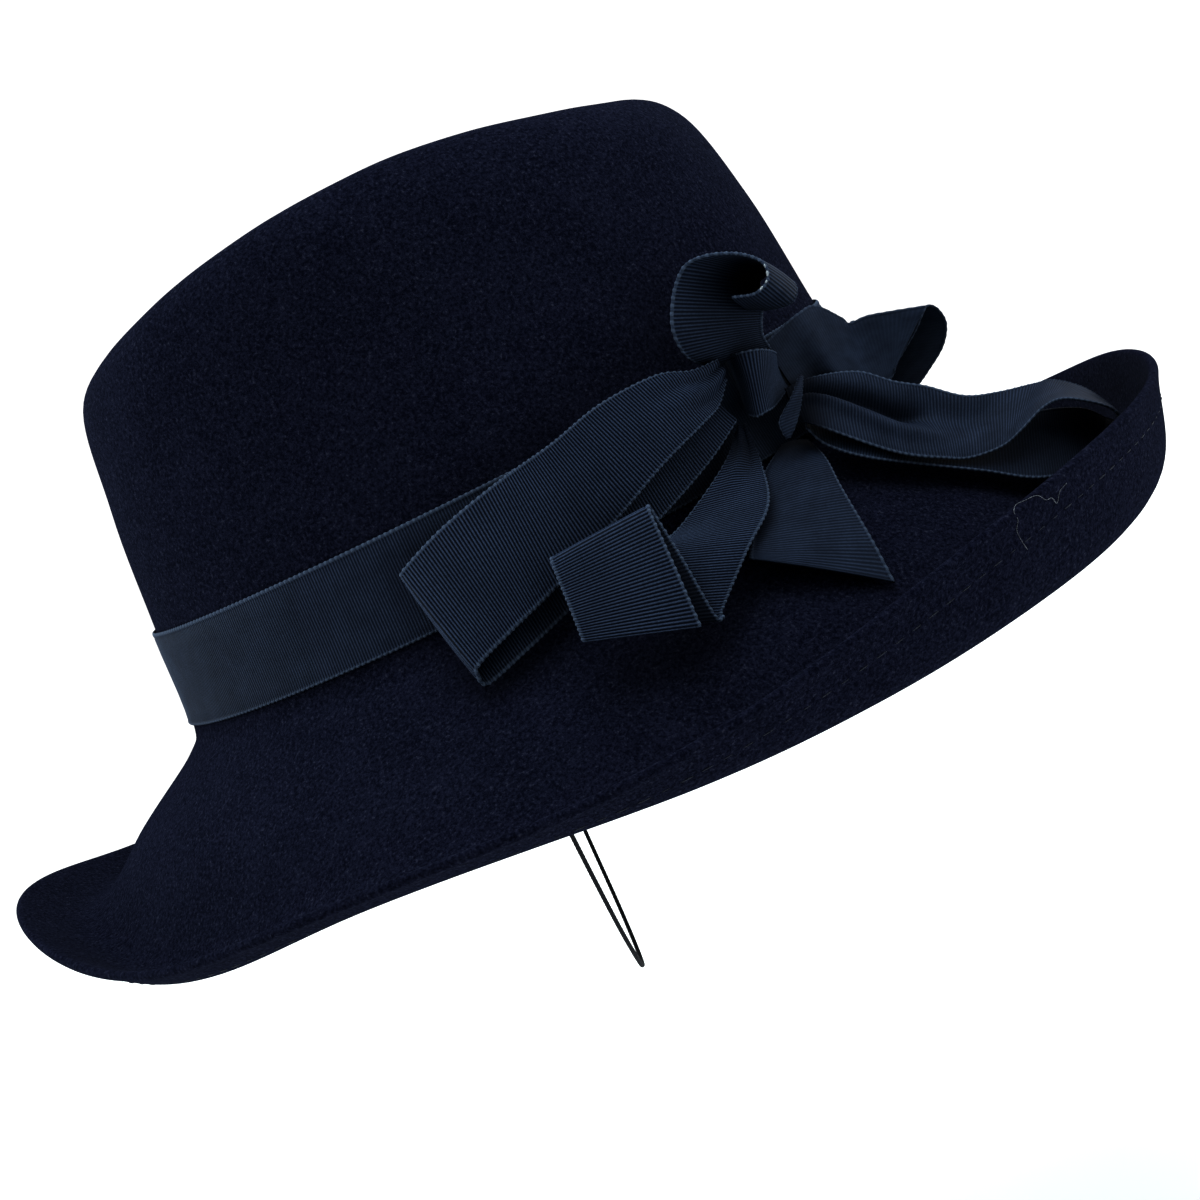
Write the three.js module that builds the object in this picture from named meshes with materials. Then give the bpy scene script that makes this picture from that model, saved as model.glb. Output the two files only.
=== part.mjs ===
// Wide-brim felt hat with a grosgrain ribbon band, a tied ribbon bow and a chin elastic.
// Millimetres. +Z is up along the crown, +X points to the wearer's face, -Y is the side with the bow.
// The origin is the centre of the head opening, in the plane where the crown meets the brim.
import * as THREE from 'three';

// ---------------------------------------------------------------- driving dimensions
const WALL = 2.5;            // felt thickness
const RIM_ROUND = WALL / 2;  // radius of the rounded rim edge
const AROUND = 64;           // facets round the hat
const RIBBON_WIDTH = 26;     // grosgrain ribbon of the band
const RIBBON_THICK = 1.0;    // ribbon with its stiffening
const SEAT_GAP = 0.4;        // air between the felt and the band
const BAND_LIFT = 0.6;       // band's lower selvedge above the brim break
const ELASTIC_D = 1.3;       // round chin elastic
const BRIM_TILT = 1.1;       // far side of the rim stands higher than the bow side
const BRIM_TWIST = -2.9;     // quarter-to-quarter twist of the rim
const BRIM_WAVE = -1.9;      // three-fold wave of the rim

// Rings of the felt, from the tip of the crown out to the rim edge. Columns:
//   front, side, back   plan reach of the ring from the crown axis
//   z0 .. z180          height at 0, 30, 60, 90, 120, 150, 180 degrees from the front
//   squareF, squareB    swelling of the front and back quarters of the plan
//   sway                share of the rim's tilt, twist and wave
//   cuts, lining        mesh steps from the ring before, on the outer and inner faces
const RINGS = [
  { name: 'tip', front: 0, side: 0, back: 0, z: [89, 89, 89, 89, 89, 89, 89],
    squareF: 0, squareB: 0, sway: 0, cuts: 0, lining: 0 },
  { name: 'dent floor', front: 44, side: 33, back: 46, z: [87, 87, 87, 87, 87, 87, 87],
    squareF: 0, squareB: 0, sway: 0, cuts: 2, lining: 1 },
  { name: 'ridge', front: 73, side: 55, back: 70, z: [96.5, 98, 103, 106, 103, 98.5, 96.5],
    squareF: 0, squareB: 0, sway: 0, cuts: 3, lining: 2 },
  { name: 'shoulder', front: 88.7, side: 69, back: 89.3, z: [87.5, 88, 92, 96.5, 97, 91.5, 89],
    squareF: 0, squareB: 0, sway: 0, cuts: 3, lining: 2 },
  { name: 'crown middle', front: 95.8, side: 76, back: 96.5, z: [60, 60, 60, 60, 60, 60, 60],
    squareF: 0, squareB: 0, sway: 0, cuts: 3, lining: 2 },
  { name: 'band top', front: 99.5, side: 82.5, back: 101, z: [25, 25, 25, 25, 25, 25, 25],
    squareF: 0, squareB: 0, sway: 0, cuts: 2, lining: 1 },
  { name: 'crown base', front: 103.5, side: 87.5, back: 103.5, z: [0, 0, 0, 0, 0, 0, 0],
    squareF: 0, squareB: 0, sway: 0, cuts: 2, lining: 1 },
  { name: 'brim break', front: 109, side: 94, back: 109, z: [-8, -8.2, -9.2, -10, -9.2, -8.2, -8],
    squareF: 0, squareB: 0, sway: 0, cuts: 2, lining: 1 },
  { name: 'brim middle', front: 133, side: 113.5, back: 130,
    z: [-26, -30, -31, -27, -24.5, -24.5, -20.5],
    squareF: 0.027, squareB: -0.018, sway: 0.5, cuts: 3, lining: 2 },
  { name: 'gutter', front: 158.5, side: 133, back: 151,
    z: [-45.5, -52, -52, -42.7, -37.8, -43.4, -33],
    squareF: 0.055, squareB: -0.045, sway: 1, cuts: 3, lining: 3 },
  { name: 'rim edge', front: 168.5, side: 146, back: 167,
    z: [-24.5, -28.5, -31, -35, -34, -35.6, -22],
    squareF: 0.055, squareB: -0.045, sway: 1, cuts: 4, lining: 3 },
];

// Chin elastic, one side from its stitch inside the crown down to the middle of the sag: x, y, z.
const ELASTIC_HALF = [
  [-20.6, -80.4, 7], [-20.8, -79.8, 0], [-21.1, -78.8, -9], [-21.7, -75.5, -24], [-22.4, -70, -42],
  [-23.1, -62, -61], [-23.6, -52, -80], [-24, -40, -96.5], [-24.2, -27, -108.5], [-24.4, -13.5, -116.2],
];
const ELASTIC_LOW = [-24.5, 0, -119];

// Ribbon pieces of the bow. Each station gives the two selvedges: a = [x, y, z], b = [x, y, z].
const KNOT = [
  { a: [60.2, -68.6, 28], b: [60.4, -71.8, 13] },
  { a: [61.5, -74, 28], b: [61.6, -75.8, 12.5] },
  { a: [65, -78, 27.5], b: [63, -79, 11.5] },
  { a: [69.5, -77, 26], b: [65, -79, 11.5] },
  { a: [73, -72, 24], b: [67.6, -76, 11.5] },
  { a: [75.4, -64, 22], b: [70.6, -69, 11.5] },
  { a: [77, -57.4, 21.4], b: [73, -62.6, 11.5] },
];
const TUCK = [
  { a: [67, -79.7, 16], b: [73, -74.8, 12] },
  { a: [67, -80.2, 10], b: [71.4, -77.6, 7] },
  { a: [67, -80.5, 3.5], b: [68.2, -80, 3] },
];
const TAIL_CURLED = [
  { a: [56.5, -72.5, 30], b: [72.5, -69.5, 26] },
  { a: [54.4, -80, 36], b: [73.2, -69, 29.5] },
  { a: [54.5, -84, 41], b: [74.5, -69, 31] },
  { a: [57.3, -85, 47.2], b: [77, -69, 35] },
  { a: [60, -86, 50.5], b: [78.5, -68, 39] },
  { a: [63.5, -87, 52], b: [80, -67, 39.8] },
  { a: [69, -88, 51.5], b: [83, -66, 40] },
  { a: [75, -88, 48], b: [86, -66, 38] },
  { a: [78, -88, 43.8], b: [87, -66.5, 35.6] },
  { a: [77.5, -87.5, 40.2], b: [84.4, -67, 32.4] },
  { a: [74, -87, 38], b: [79.5, -67.5, 31.8] },
  { a: [70, -86, 39.5], b: [75.6, -68.5, 33.6] },
];
const LOOP_BACK = [
  { a: [60, -75.4, 27.6], b: [59.8, -76.2, 22.5] },
  { a: [52.5, -81, 28.5], b: [55, -81, 17] },
  { a: [44, -86, 31.5], b: [49, -87, 13.8] },
  { a: [29, -91, 31.5], b: [35, -93, 11.5] },
  { a: [15, -92.5, 28.5], b: [20, -97, 6] },
  { a: [0, -93, 26.2], b: [1, -101, -1] },
  { a: [-16, -92.5, 22.5], b: [-12, -102.5, -5] },
  { a: [-28, -91, 18], b: [-22, -103, -8.5] },
  { a: [-29.5, -89.5, 16.5], b: [-23.6, -102.4, -11] },
  { a: [-28, -88, 15.4], b: [-22.4, -101.2, -13.8] },
  { a: [-16, -88.5, 18], b: [-12, -100.4, -11.2] },
  { a: [0, -89.4, 20.5], b: [2, -97.6, -7.2] },
  { a: [15, -89, 21.5], b: [16, -94.4, -2.4] },
  { a: [29, -86.4, 22.5], b: [31, -90, 1.6] },
  { a: [44, -79.6, 23], b: [47, -83.6, 7.4] },
  { a: [55, -74.4, 21], b: [58, -76.4, 12.6] },
];
const TAIL_FOLDED = [
  { a: [57, -76.4, 11], b: [63.6, -78.4, 10.6] },
  { a: [49, -85, 5], b: [59.5, -83.5, 0.5] },
  { a: [33, -95, -2], b: [54, -95, -6.5] },
  { a: [22, -104.5, -4], b: [44, -104.5, -12.5] },
  { a: [10, -111, -12], b: [32.5, -111.5, -21] },
  { a: [8.6, -113, -13.6], b: [31.8, -113, -22.4] },
  { a: [7, -114.4, -12.2], b: [30.2, -114.6, -20.6] },
  { a: [5, -111.4, -3], b: [29.4, -111.4, -6] },
  { a: [3.5, -107.6, 4.6], b: [28.4, -107, 5.4] },
  { a: [3, -109, 6.2], b: [28, -108.4, 6.8] },
  { a: [2.6, -111.2, 5], b: [27.6, -110.6, 5.2] },
  { a: [1.8, -115, -4.6], b: [26.8, -115.2, -8.6] },
  { a: [1, -117.6, -12.4], b: [26, -118.4, -21.2] },
];
const TAIL_POINTED = [
  { a: [66.4, -74.8, 10.8], b: [71.4, -70.4, 10] },
  { a: [59, -80.5, 0], b: [72.4, -77, -2] },
  { a: [51.5, -91, -7], b: [72.2, -87, -12] },
  { a: [45, -101, -13], b: [71.8, -97.5, -24.5] },
  { a: [43.6, -103.4, -14.6], b: [71.2, -104.5, -34.6] },
];
const LOOP_FRONT_LOW = [
  { a: [72.6, -69, 13.6], b: [72.6, -74.6, 4.8] },
  { a: [79, -67.6, 12.6], b: [75.6, -76.4, 2] },
  { a: [90, -66, 9.6], b: [84, -84, -7] },
  { a: [98.4, -67, 5.8], b: [89.8, -87, -12.2] },
  { a: [106, -66, -1.6], b: [97, -86.5, -16.6] },
  { a: [113, -64, -8], b: [103, -85.5, -19.6] },
  { a: [122, -62, -11.6], b: [111.5, -83.5, -21] },
  { a: [131, -59.5, -14], b: [118, -80.5, -20] },
  { a: [137, -55, -16], b: [126, -76.5, -18] },
  { a: [144, -50, -21.4], b: [132, -72.5, -18.6] },
  { a: [148.4, -46.5, -26.8], b: [138, -69, -22] },
  { a: [151, -44.5, -31.5], b: [144.5, -65, -27.5] },
  { a: [150.6, -45, -34.6], b: [146, -64, -32.2] },
  { a: [146, -46, -35.8], b: [142, -66.4, -34.8] },
  { a: [137.4, -53, -33], b: [131, -76.4, -36] },
  { a: [123, -64, -27.6], b: [115.4, -89.2, -31] },
  { a: [111, -67.5, -20], b: [103.6, -89.5, -23] },
  { a: [101, -68, -10], b: [91, -87.4, -15] },
  { a: [91, -66, 0], b: [81, -83, -8.4] },
  { a: [80, -66.5, 6], b: [74.8, -77, -2.4] },
];
const LOOP_FRONT_HIGH = [
  { a: [90, -52, 2], b: [98.6, -62, 2.4] },
  { a: [92.5, -54.5, 9], b: [100.6, -65, 7.8] },
  { a: [96, -53, 15], b: [107.4, -67.6, 10.6] },
  { a: [98, -50, 19.6], b: [113.4, -66.5, 14.8] },
  { a: [99.4, -47.6, 20.8], b: [115.4, -64, 16] },
  { a: [100.6, -45, 19.4], b: [117, -61, 14.2] },
  { a: [101, -42.4, 14], b: [118.2, -57.6, 9] },
  { a: [97, -42, 8.4], b: [114.4, -55.6, 4] },
  { a: [92, -45.6, 3], b: [107.6, -56, -1] },
];
const PLEAT_FRONT = [
  { a: [76.4, -64.8, 25], b: [77.4, -65, 15] },
  { a: [80, -62.6, 28.4], b: [84, -64, 14] },
  { a: [85.6, -59, 28.6], b: [89, -61.4, 11.8] },
  { a: [90.6, -54.6, 27.8], b: [91.4, -59.4, 10.4] },
  { a: [95.3, -50.4, 23.4], b: [92.3, -56.5, 9.2] },
];

// ---------------------------------------------------------------- shape helpers
const v3 = (p) => new THREE.Vector3(p[0], p[1], p[2]);

/** Even cosine series through seven values spaced 30 degrees, front to back. */
function cosineSeries(values, th) {
  let sum = 0;
  for (let k = 0; k <= 6; k++) {
    let c = 0;
    for (let j = 0; j <= 6; j++) {
      c += (j === 0 || j === 6 ? 0.5 : 1) * values[j] * Math.cos((k * j * Math.PI) / 6);
    }
    sum += ((c * (k === 0 || k === 6 ? 1 : 2)) / 6) * Math.cos(k * th);
  }
  return sum;
}

/** Point of a felt ring at angle th from the front. */
function ringPoint(ring, th) {
  const reach = (ring.front + ring.back) / 2 + ((ring.front - ring.back) / 2) * Math.cos(th);
  const swell = (ring.squareF * (1 + Math.cos(th)) + ring.squareB * (1 - Math.cos(th))) / 2;
  const bulge = 1 + swell * Math.sin(2 * th) ** 2;
  const sway = BRIM_TILT * Math.sin(th) + BRIM_TWIST * Math.sin(2 * th) + BRIM_WAVE * Math.sin(3 * th);
  return new THREE.Vector3(
    reach * Math.cos(th) * bulge,
    ring.side * Math.sin(th) * bulge,
    cosineSeries(ring.z, th) + ring.sway * sway,
  );
}

/** Catmull-Rom through a list of vectors at parameter u in ring numbers. */
function spline(points, u) {
  const i = Math.min(Math.floor(u), points.length - 2);
  const t = u - i;
  const p1 = points[i];
  const p2 = points[i + 1];
  const p0 = i > 0 ? points[i - 1] : p1.clone().multiplyScalar(2).sub(p2);
  const p3 = i + 2 < points.length ? points[i + 2] : p2.clone().multiplyScalar(2).sub(p1);
  const w = [-t + 2 * t * t - t ** 3, 2 - 5 * t * t + 3 * t ** 3, t + 4 * t * t - 3 * t ** 3, t ** 3 - t * t];
  return new THREE.Vector3()
    .addScaledVector(p0, w[0] / 2).addScaledVector(p1, w[1] / 2)
    .addScaledVector(p2, w[2] / 2).addScaledVector(p3, w[3] / 2);
}

/** Outer felt surface at ring parameter u and angle th. */
function feltPoint(u, th) {
  return spline(RINGS.map((r) => ringPoint(r, th)), u);
}

/** Outward (upper side) unit normal of the felt surface. */
function feltNormal(u, th) {
  const e = 0.02;
  const uu = Math.max(u, 0.05);
  const u0 = Math.max(uu - e, 0.01);
  const u1 = Math.min(uu + e, RINGS.length - 1);
  const du = feltPoint(u1, th).sub(feltPoint(u0, th));
  const dv = feltPoint(uu, th + e).sub(feltPoint(uu, th - e));
  return du.cross(dv).normalize();
}

/** Ring parameters for a face, from the tip to the rim, cut as the table says. */
function cuts(key) {
  const out = [0];
  for (let i = 1; i < RINGS.length; i++) {
    for (let s = 1; s <= RINGS[i][key]; s++) out.push(i - 1 + s / RINGS[i][key]);
  }
  return out;
}

/** Closed geometry from a vertex list and triangles that share it. */
function geometryOf(points, faces) {
  const g = new THREE.BufferGeometry();
  g.setAttribute('position', new THREE.Float32BufferAttribute(points.flatMap((p) => [p.x, p.y, p.z]), 3));
  g.setIndex(faces.flat());
  g.computeVertexNormals();
  return g;
}

/** Crown and brim as one closed felt wall. */
function feltGeometry() {
  const points = [];
  const faces = [];
  const rows = [];
  const angle = (j) => (j * 2 * Math.PI) / AROUND;
  const addRow = (fn) => {
    const row = [];
    for (let j = 0; j < AROUND; j++) row.push(points.push(fn(angle(j))) - 1);
    rows.push(row);
  };
  const outer = cuts('cuts');
  const inner = cuts('lining');
  const top = points.push(feltPoint(0, 0)) - 1;
  outer.slice(1).forEach((u) => addRow((th) => feltPoint(u, th)));
  const rim = RINGS.length - 1;
  for (const turn of [0.25, 0.5, 0.75]) {
    addRow((th) => {
      const n = feltNormal(rim, th);
      const edge = feltPoint(rim, th);
      const out = edge.clone().sub(feltPoint(rim - 0.05, th));
      out.addScaledVector(n, -out.dot(n)).normalize();
      return edge.addScaledVector(n, -RIM_ROUND + RIM_ROUND * Math.cos(turn * Math.PI))
        .addScaledVector(out, RIM_ROUND * Math.sin(turn * Math.PI));
    });
  }
  inner.slice(1).reverse().forEach((u) => {
    addRow((th) => feltPoint(u, th).addScaledVector(feltNormal(u, th), -WALL));
  });
  const under = points.push(feltPoint(0, 0).add(new THREE.Vector3(0, 0, -WALL))) - 1;
  for (let j = 0; j < AROUND; j++) {
    const k = (j + 1) % AROUND;
    faces.push([top, rows[0][j], rows[0][k]]);
    for (let i = 0; i + 1 < rows.length; i++) {
      faces.push([rows[i][j], rows[i + 1][j], rows[i + 1][k]], [rows[i][j], rows[i + 1][k], rows[i][k]]);
    }
    const last = rows[rows.length - 1];
    faces.push([last[j], under, last[k]]);
  }
  return geometryOf(points, faces);
}

/** Ribbon band lying round the foot of the crown. */
function bandGeometry() {
  const points = [];
  const faces = [];
  const rows = [[], [], [], [], [], []];
  for (let j = 0; j < AROUND; j++) {
    const th = (j * 2 * Math.PI) / AROUND;
    const levels = [5.999 - BAND_LIFT / 25, 5.5, 5 - (RIBBON_WIDTH + BAND_LIFT - 25) / 35];
    const place = (u, off) => feltPoint(u, th).addScaledVector(feltNormal(u, th), off);
    levels.forEach((u, i) => rows[i].push(points.push(place(u, SEAT_GAP)) - 1));
    levels.slice().reverse().forEach((u, i) => {
      rows[3 + i].push(points.push(place(u, SEAT_GAP + RIBBON_THICK)) - 1);
    });
  }
  for (let j = 0; j < AROUND; j++) {
    const k = (j + 1) % AROUND;
    for (let i = 0; i < 6; i++) {
      const a = rows[i];
      const b = rows[(i + 1) % 6];
      faces.push([a[j], b[j], b[k]], [a[j], b[k], a[k]]);
    }
  }
  return geometryOf(points, faces);
}

/** Ribbon strip swept through selvedge stations, each span cut in `steps`. */
function stripGeometry(stations, steps) {
  const a = stations.map((s) => v3(s.a));
  const b = stations.map((s) => v3(s.b));
  const last = stations.length - 1;
  const points = [];
  const faces = [];
  const count = last * steps;
  for (let i = 0; i <= count; i++) {
    const u = i / steps;
    const lo = Math.max(u - 0.1, 0);
    const hi = Math.min(u + 0.1, last);
    const pa = spline(a, u);
    const pb = spline(b, u);
    const run = spline(a, hi).add(spline(b, hi)).sub(spline(a, lo)).sub(spline(b, lo));
    const n = run.cross(pb.clone().sub(pa)).normalize().multiplyScalar(RIBBON_THICK / 2);
    points.push(pa.clone().add(n), pb.clone().add(n), pb.clone().sub(n), pa.clone().sub(n));
  }
  for (let i = 0; i < count; i++) {
    for (let c = 0; c < 4; c++) {
      const d = (c + 1) % 4;
      const p = 4 * i;
      faces.push([p + c, p + 4 + d, p + d], [p + c, p + 4 + c, p + 4 + d]);
    }
  }
  const e = 4 * count;
  faces.push([0, 1, 2], [0, 2, 3], [e, e + 2, e + 1], [e, e + 3, e + 2]);
  return geometryOf(points, faces);
}

/** Round elastic swept along its sagging run. */
function elasticGeometry() {
  const far = ELASTIC_HALF.slice().reverse().map((p) => [p[0], -p[1], p[2]]);
  const run = new THREE.CatmullRomCurve3([...ELASTIC_HALF, ELASTIC_LOW, ...far].map(v3));
  const section = new THREE.Shape();
  for (let i = 0; i < 8; i++) {
    const t = (i * Math.PI) / 4;
    const x = (ELASTIC_D / 2) * Math.cos(t);
    const y = (ELASTIC_D / 2) * Math.sin(t);
    if (i === 0) section.moveTo(x, y); else section.lineTo(x, y);
  }
  section.closePath();
  return new THREE.ExtrudeGeometry(section, { steps: 78, bevelEnabled: false, extrudePath: run, curveSegments: 1 });
}

// ---------------------------------------------------------------- assembly
const FELT = 0x1d2334;
const RIBBON = 0x27405a;
const ELASTIC = 0x14161a;

function piece(name, geometry, colour, roughness) {
  const mesh = new THREE.Mesh(geometry, new THREE.MeshStandardMaterial({ color: colour, roughness }));
  mesh.name = name;
  return mesh;
}

const hat = new THREE.Group();
hat.name = 'wide_brim_hat';
hat.add(
  piece('felt_body', feltGeometry(), FELT, 0.95),
  piece('ribbon_band', bandGeometry(), RIBBON, 0.7),
  piece('bow_knot', stripGeometry(KNOT, 4), RIBBON, 0.7),
  piece('bow_tuck', stripGeometry(TUCK, 3), RIBBON, 0.7),
  piece('bow_tail_curled', stripGeometry(TAIL_CURLED, 3), RIBBON, 0.7),
  piece('bow_loop_back', stripGeometry(LOOP_BACK, 3), RIBBON, 0.7),
  piece('bow_tail_folded', stripGeometry(TAIL_FOLDED, 3), RIBBON, 0.7),
  piece('bow_tail_pointed', stripGeometry(TAIL_POINTED, 4), RIBBON, 0.7),
  piece('bow_loop_front_low', stripGeometry(LOOP_FRONT_LOW, 2), RIBBON, 0.7),
  piece('bow_loop_front_high', stripGeometry(LOOP_FRONT_HIGH, 3), RIBBON, 0.7),
  piece('bow_pleat_front', stripGeometry(PLEAT_FRONT, 4), RIBBON, 0.7),
  piece('chin_elastic', elasticGeometry(), ELASTIC, 0.8),
);

export default hat;
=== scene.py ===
import logging
import math
from collections.abc import Sequence
from dataclasses import dataclass
from enum import Enum

import bpy
import numpy as np
from mathutils import Matrix, Vector


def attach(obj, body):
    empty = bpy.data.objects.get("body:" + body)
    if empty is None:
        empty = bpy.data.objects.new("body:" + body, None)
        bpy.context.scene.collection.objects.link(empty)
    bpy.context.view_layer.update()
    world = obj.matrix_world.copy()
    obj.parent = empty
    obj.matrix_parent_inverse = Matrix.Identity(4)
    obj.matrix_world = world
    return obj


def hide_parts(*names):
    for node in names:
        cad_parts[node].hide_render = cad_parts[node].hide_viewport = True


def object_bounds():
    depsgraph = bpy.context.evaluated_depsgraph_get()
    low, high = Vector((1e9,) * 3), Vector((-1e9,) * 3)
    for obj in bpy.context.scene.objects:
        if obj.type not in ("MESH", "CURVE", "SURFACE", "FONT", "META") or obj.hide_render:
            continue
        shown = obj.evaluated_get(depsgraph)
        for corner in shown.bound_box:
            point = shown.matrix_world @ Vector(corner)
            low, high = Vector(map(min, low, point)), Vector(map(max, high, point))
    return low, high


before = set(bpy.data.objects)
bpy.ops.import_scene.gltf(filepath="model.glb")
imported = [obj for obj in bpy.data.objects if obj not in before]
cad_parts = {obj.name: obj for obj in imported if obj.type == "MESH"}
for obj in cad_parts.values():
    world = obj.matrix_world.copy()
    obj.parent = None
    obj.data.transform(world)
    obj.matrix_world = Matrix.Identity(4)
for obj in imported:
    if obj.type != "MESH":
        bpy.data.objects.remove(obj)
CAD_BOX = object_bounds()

log = logging.getLogger("wide_brim_hat")

Colour = tuple[float, float, float, float]
Point = tuple[float, float, float]
Socket = bpy.types.NodeSocket

MM = 0.001
BODY = "root"
TURN = 2 * math.pi
RIBBON_WIDTH = 26.0


# ---------------------------------------------------------------- curves and small geometry
def catmull_rom(points: np.ndarray, u: np.ndarray) -> np.ndarray:
    """Catmull-Rom curve through points, run straight on past both ends.

    Args:
        points: The points, one row each; further axes are carried along.
        u: Parameters in point numbers.

    Returns:
        The curve's value at each parameter.
    """
    padded = np.concatenate([2 * points[:1] - points[1:2], points, 2 * points[-1:] - points[-2:-1]])
    start = np.clip(np.floor(u).astype(int), 0, len(points) - 2)
    t = (u - start).reshape(-1, *([1] * (points.ndim - 1)))
    p0, p1, p2, p3 = (padded[start + k] for k in range(4))
    a = -t + 2 * t**2 - t**3
    b = 2 - 5 * t**2 + 3 * t**3
    c = t + 4 * t**2 - 3 * t**3
    d = t**3 - t**2
    return (a * p0 + b * p1 + c * p2 + d * p3) / 2


def unit(v: np.ndarray) -> np.ndarray:
    """Vectors scaled to length one."""
    return v / np.maximum(np.linalg.norm(v, axis=-1, keepdims=True), 1e-12)


def smooth_step(x: np.ndarray) -> np.ndarray:
    """Smooth rise from 0 at x = 0 to 1 at x = 1."""
    x = np.clip(x, 0, 1)
    return x * x * (3 - 2 * x)


def grid_faces(rows: int, columns: int, close_rows: bool, close_columns: bool) -> np.ndarray:
    """Quads of a grid whose vertices are numbered row by row.

    Args:
        rows: Number of rows.
        columns: Number of vertices in a row.
        close_rows: Whether the last row joins the first.
        close_columns: Whether each row is a closed ring.

    Returns:
        One quad a line, as four vertex numbers.
    """
    i = np.arange(rows if close_rows else rows - 1)[:, None]
    j = np.arange(columns if close_columns else columns - 1)[None, :]
    down = (i + 1) % rows
    right = (j + 1) % columns
    quads = [i * columns + j, down * columns + j, down * columns + right, i * columns + right]
    return np.stack(np.broadcast_arrays(*quads), -1).reshape(-1, 4)


def distances(points: np.ndarray) -> np.ndarray:
    """Distance along a line of points, at each of them."""
    return np.concatenate([[0], np.cumsum(np.linalg.norm(np.diff(points, axis=0), axis=1))])


def grid_uv(along: np.ndarray, across: np.ndarray) -> np.ndarray:
    """Texture place of each vertex of a grid, one section after another."""
    return np.stack(np.broadcast_arrays(along[:, None], across[None]), -1).reshape(-1, 2)


def in_scene(name: str, data: bpy.types.ID) -> bpy.types.Object:
    """A new object at the origin, linked to the scene."""
    made = bpy.data.objects.new(name, data)
    bpy.context.collection.objects.link(made)
    return made


def new_mesh(
    name: str, points: np.ndarray, faces: Sequence[Sequence[int]], uv: np.ndarray | None = None
) -> bpy.types.Object:
    """A smooth-shaded mesh object at the origin.

    Args:
        name: Name of the piece.
        points: Vertices in metres.
        faces: Vertex numbers of each face.
        uv: Texture place of each vertex, in metres.

    Returns:
        The new object, linked to the scene.
    """
    mesh = bpy.data.meshes.new(name)
    mesh.from_pydata(points.tolist(), [], [list(map(int, f)) for f in faces])
    mesh.polygons.foreach_set("use_smooth", np.ones(len(mesh.polygons), bool))
    if uv is not None:
        corner = np.empty(len(mesh.loops), int)
        mesh.loops.foreach_get("vertex_index", corner)
        mesh.uv_layers.new(name="weave").data.foreach_set("uv", uv[corner].ravel())
    mesh.update()
    return in_scene(name, mesh)


def add_attribute(piece: bpy.types.Object, name: str, values: np.ndarray) -> None:
    """Stores one number or one vector a vertex on a mesh.

    Args:
        piece: The mesh object.
        name: Attribute name.
        values: One value a vertex, or three.
    """
    kind = "FLOAT" if values.ndim == 1 else "FLOAT_VECTOR"
    data = piece.data.attributes.new(name, kind, "POINT").data
    data.foreach_set("value" if values.ndim == 1 else "vector", values.astype(np.float32).ravel())


# ---------------------------------------------------------------- finishes
class Nodes:
    """Short way of adding and linking nodes in one tree."""

    def __init__(self, tree: bpy.types.NodeTree) -> None:
        """Keeps the tree that the nodes go in."""
        self.tree = tree

    def put(self, value: object, socket: Socket) -> None:
        """Links an output to an input socket, or sets the input's own value."""
        if isinstance(value, Socket):
            self.tree.links.new(value, socket)
        else:
            socket.default_value = value

    def add(self, kind: str, inputs: dict | None = None, **settings: object) -> bpy.types.Node:
        """Adds a node.

        Args:
            kind: Blender's node type.
            inputs: Value or output socket for each input, by its name or number.
            **settings: Node properties.

        Returns:
            The new node.
        """
        node = self.tree.nodes.new(kind)
        for key, value in settings.items():
            setattr(node, key, value)
        for key, value in (inputs or {}).items():
            self.put(value, node.inputs[key])
        return node

    def math(self, operation: str, a: object, b: object = 0.0) -> Socket:
        """Output of a math node on two values or sockets."""
        return self.add("ShaderNodeMath", {0: a, 1: b}, operation=operation).outputs[0]

    def plus(self, a: object, b: object) -> Socket:
        """Sum of two values or sockets."""
        return self.math("ADD", a, b)

    def minus(self, a: object, b: object) -> Socket:
        """First value or socket less the second."""
        return self.math("SUBTRACT", a, b)

    def times(self, a: object, b: object) -> Socket:
        """Product of two values or sockets."""
        return self.math("MULTIPLY", a, b)

    def ramp(self, value: object, low: float, high: float, to_low: float = 0, to_high: float = 1) -> Socket:
        """Output of a clamped map from one range to another."""
        inputs = {"Value": value, "From Min": low, "From Max": high, "To Min": to_low, "To Max": to_high}
        return self.add("ShaderNodeMapRange", inputs).outputs["Result"]

    def blend(self, share: object, first: object, second: object) -> Socket:
        """Colour output of a mix of two colours."""
        return self.add("ShaderNodeMix", {0: share, 6: first, 7: second}, data_type="RGBA").outputs[2]

    def noise(self, place: object, scale: float, detail: float = 2.0, roughness: float = 0.5) -> Socket:
        """Output of a noise texture, in waves a metre."""
        inputs = {"Vector": place, "Scale": scale, "Detail": detail, "Roughness": roughness}
        return self.add("ShaderNodeTexNoise", inputs).outputs["Fac"]

    def place(self) -> Socket:
        """Place on the piece, in metres."""
        return self.add("ShaderNodeTexCoord").outputs["Object"]

    def attribute(self, name: str) -> Socket:
        """Number that the piece itself carries at each vertex."""
        return self.add("ShaderNodeAttribute", attribute_name=name).outputs["Fac"]

    def open_air(self, reach: float) -> Socket:
        """How open the surface is within a reach: 1 in the open, 0 in a tight corner."""
        return self.add("ShaderNodeAmbientOcclusion", {"Distance": reach}, samples=6).outputs["AO"]

    def bump(self, height: object, strength: float, distance: float) -> Socket:
        """Normal output of a bump."""
        inputs = {"Strength": strength, "Distance": distance, "Height": height}
        return self.add("ShaderNodeBump", inputs).outputs["Normal"]


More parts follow.
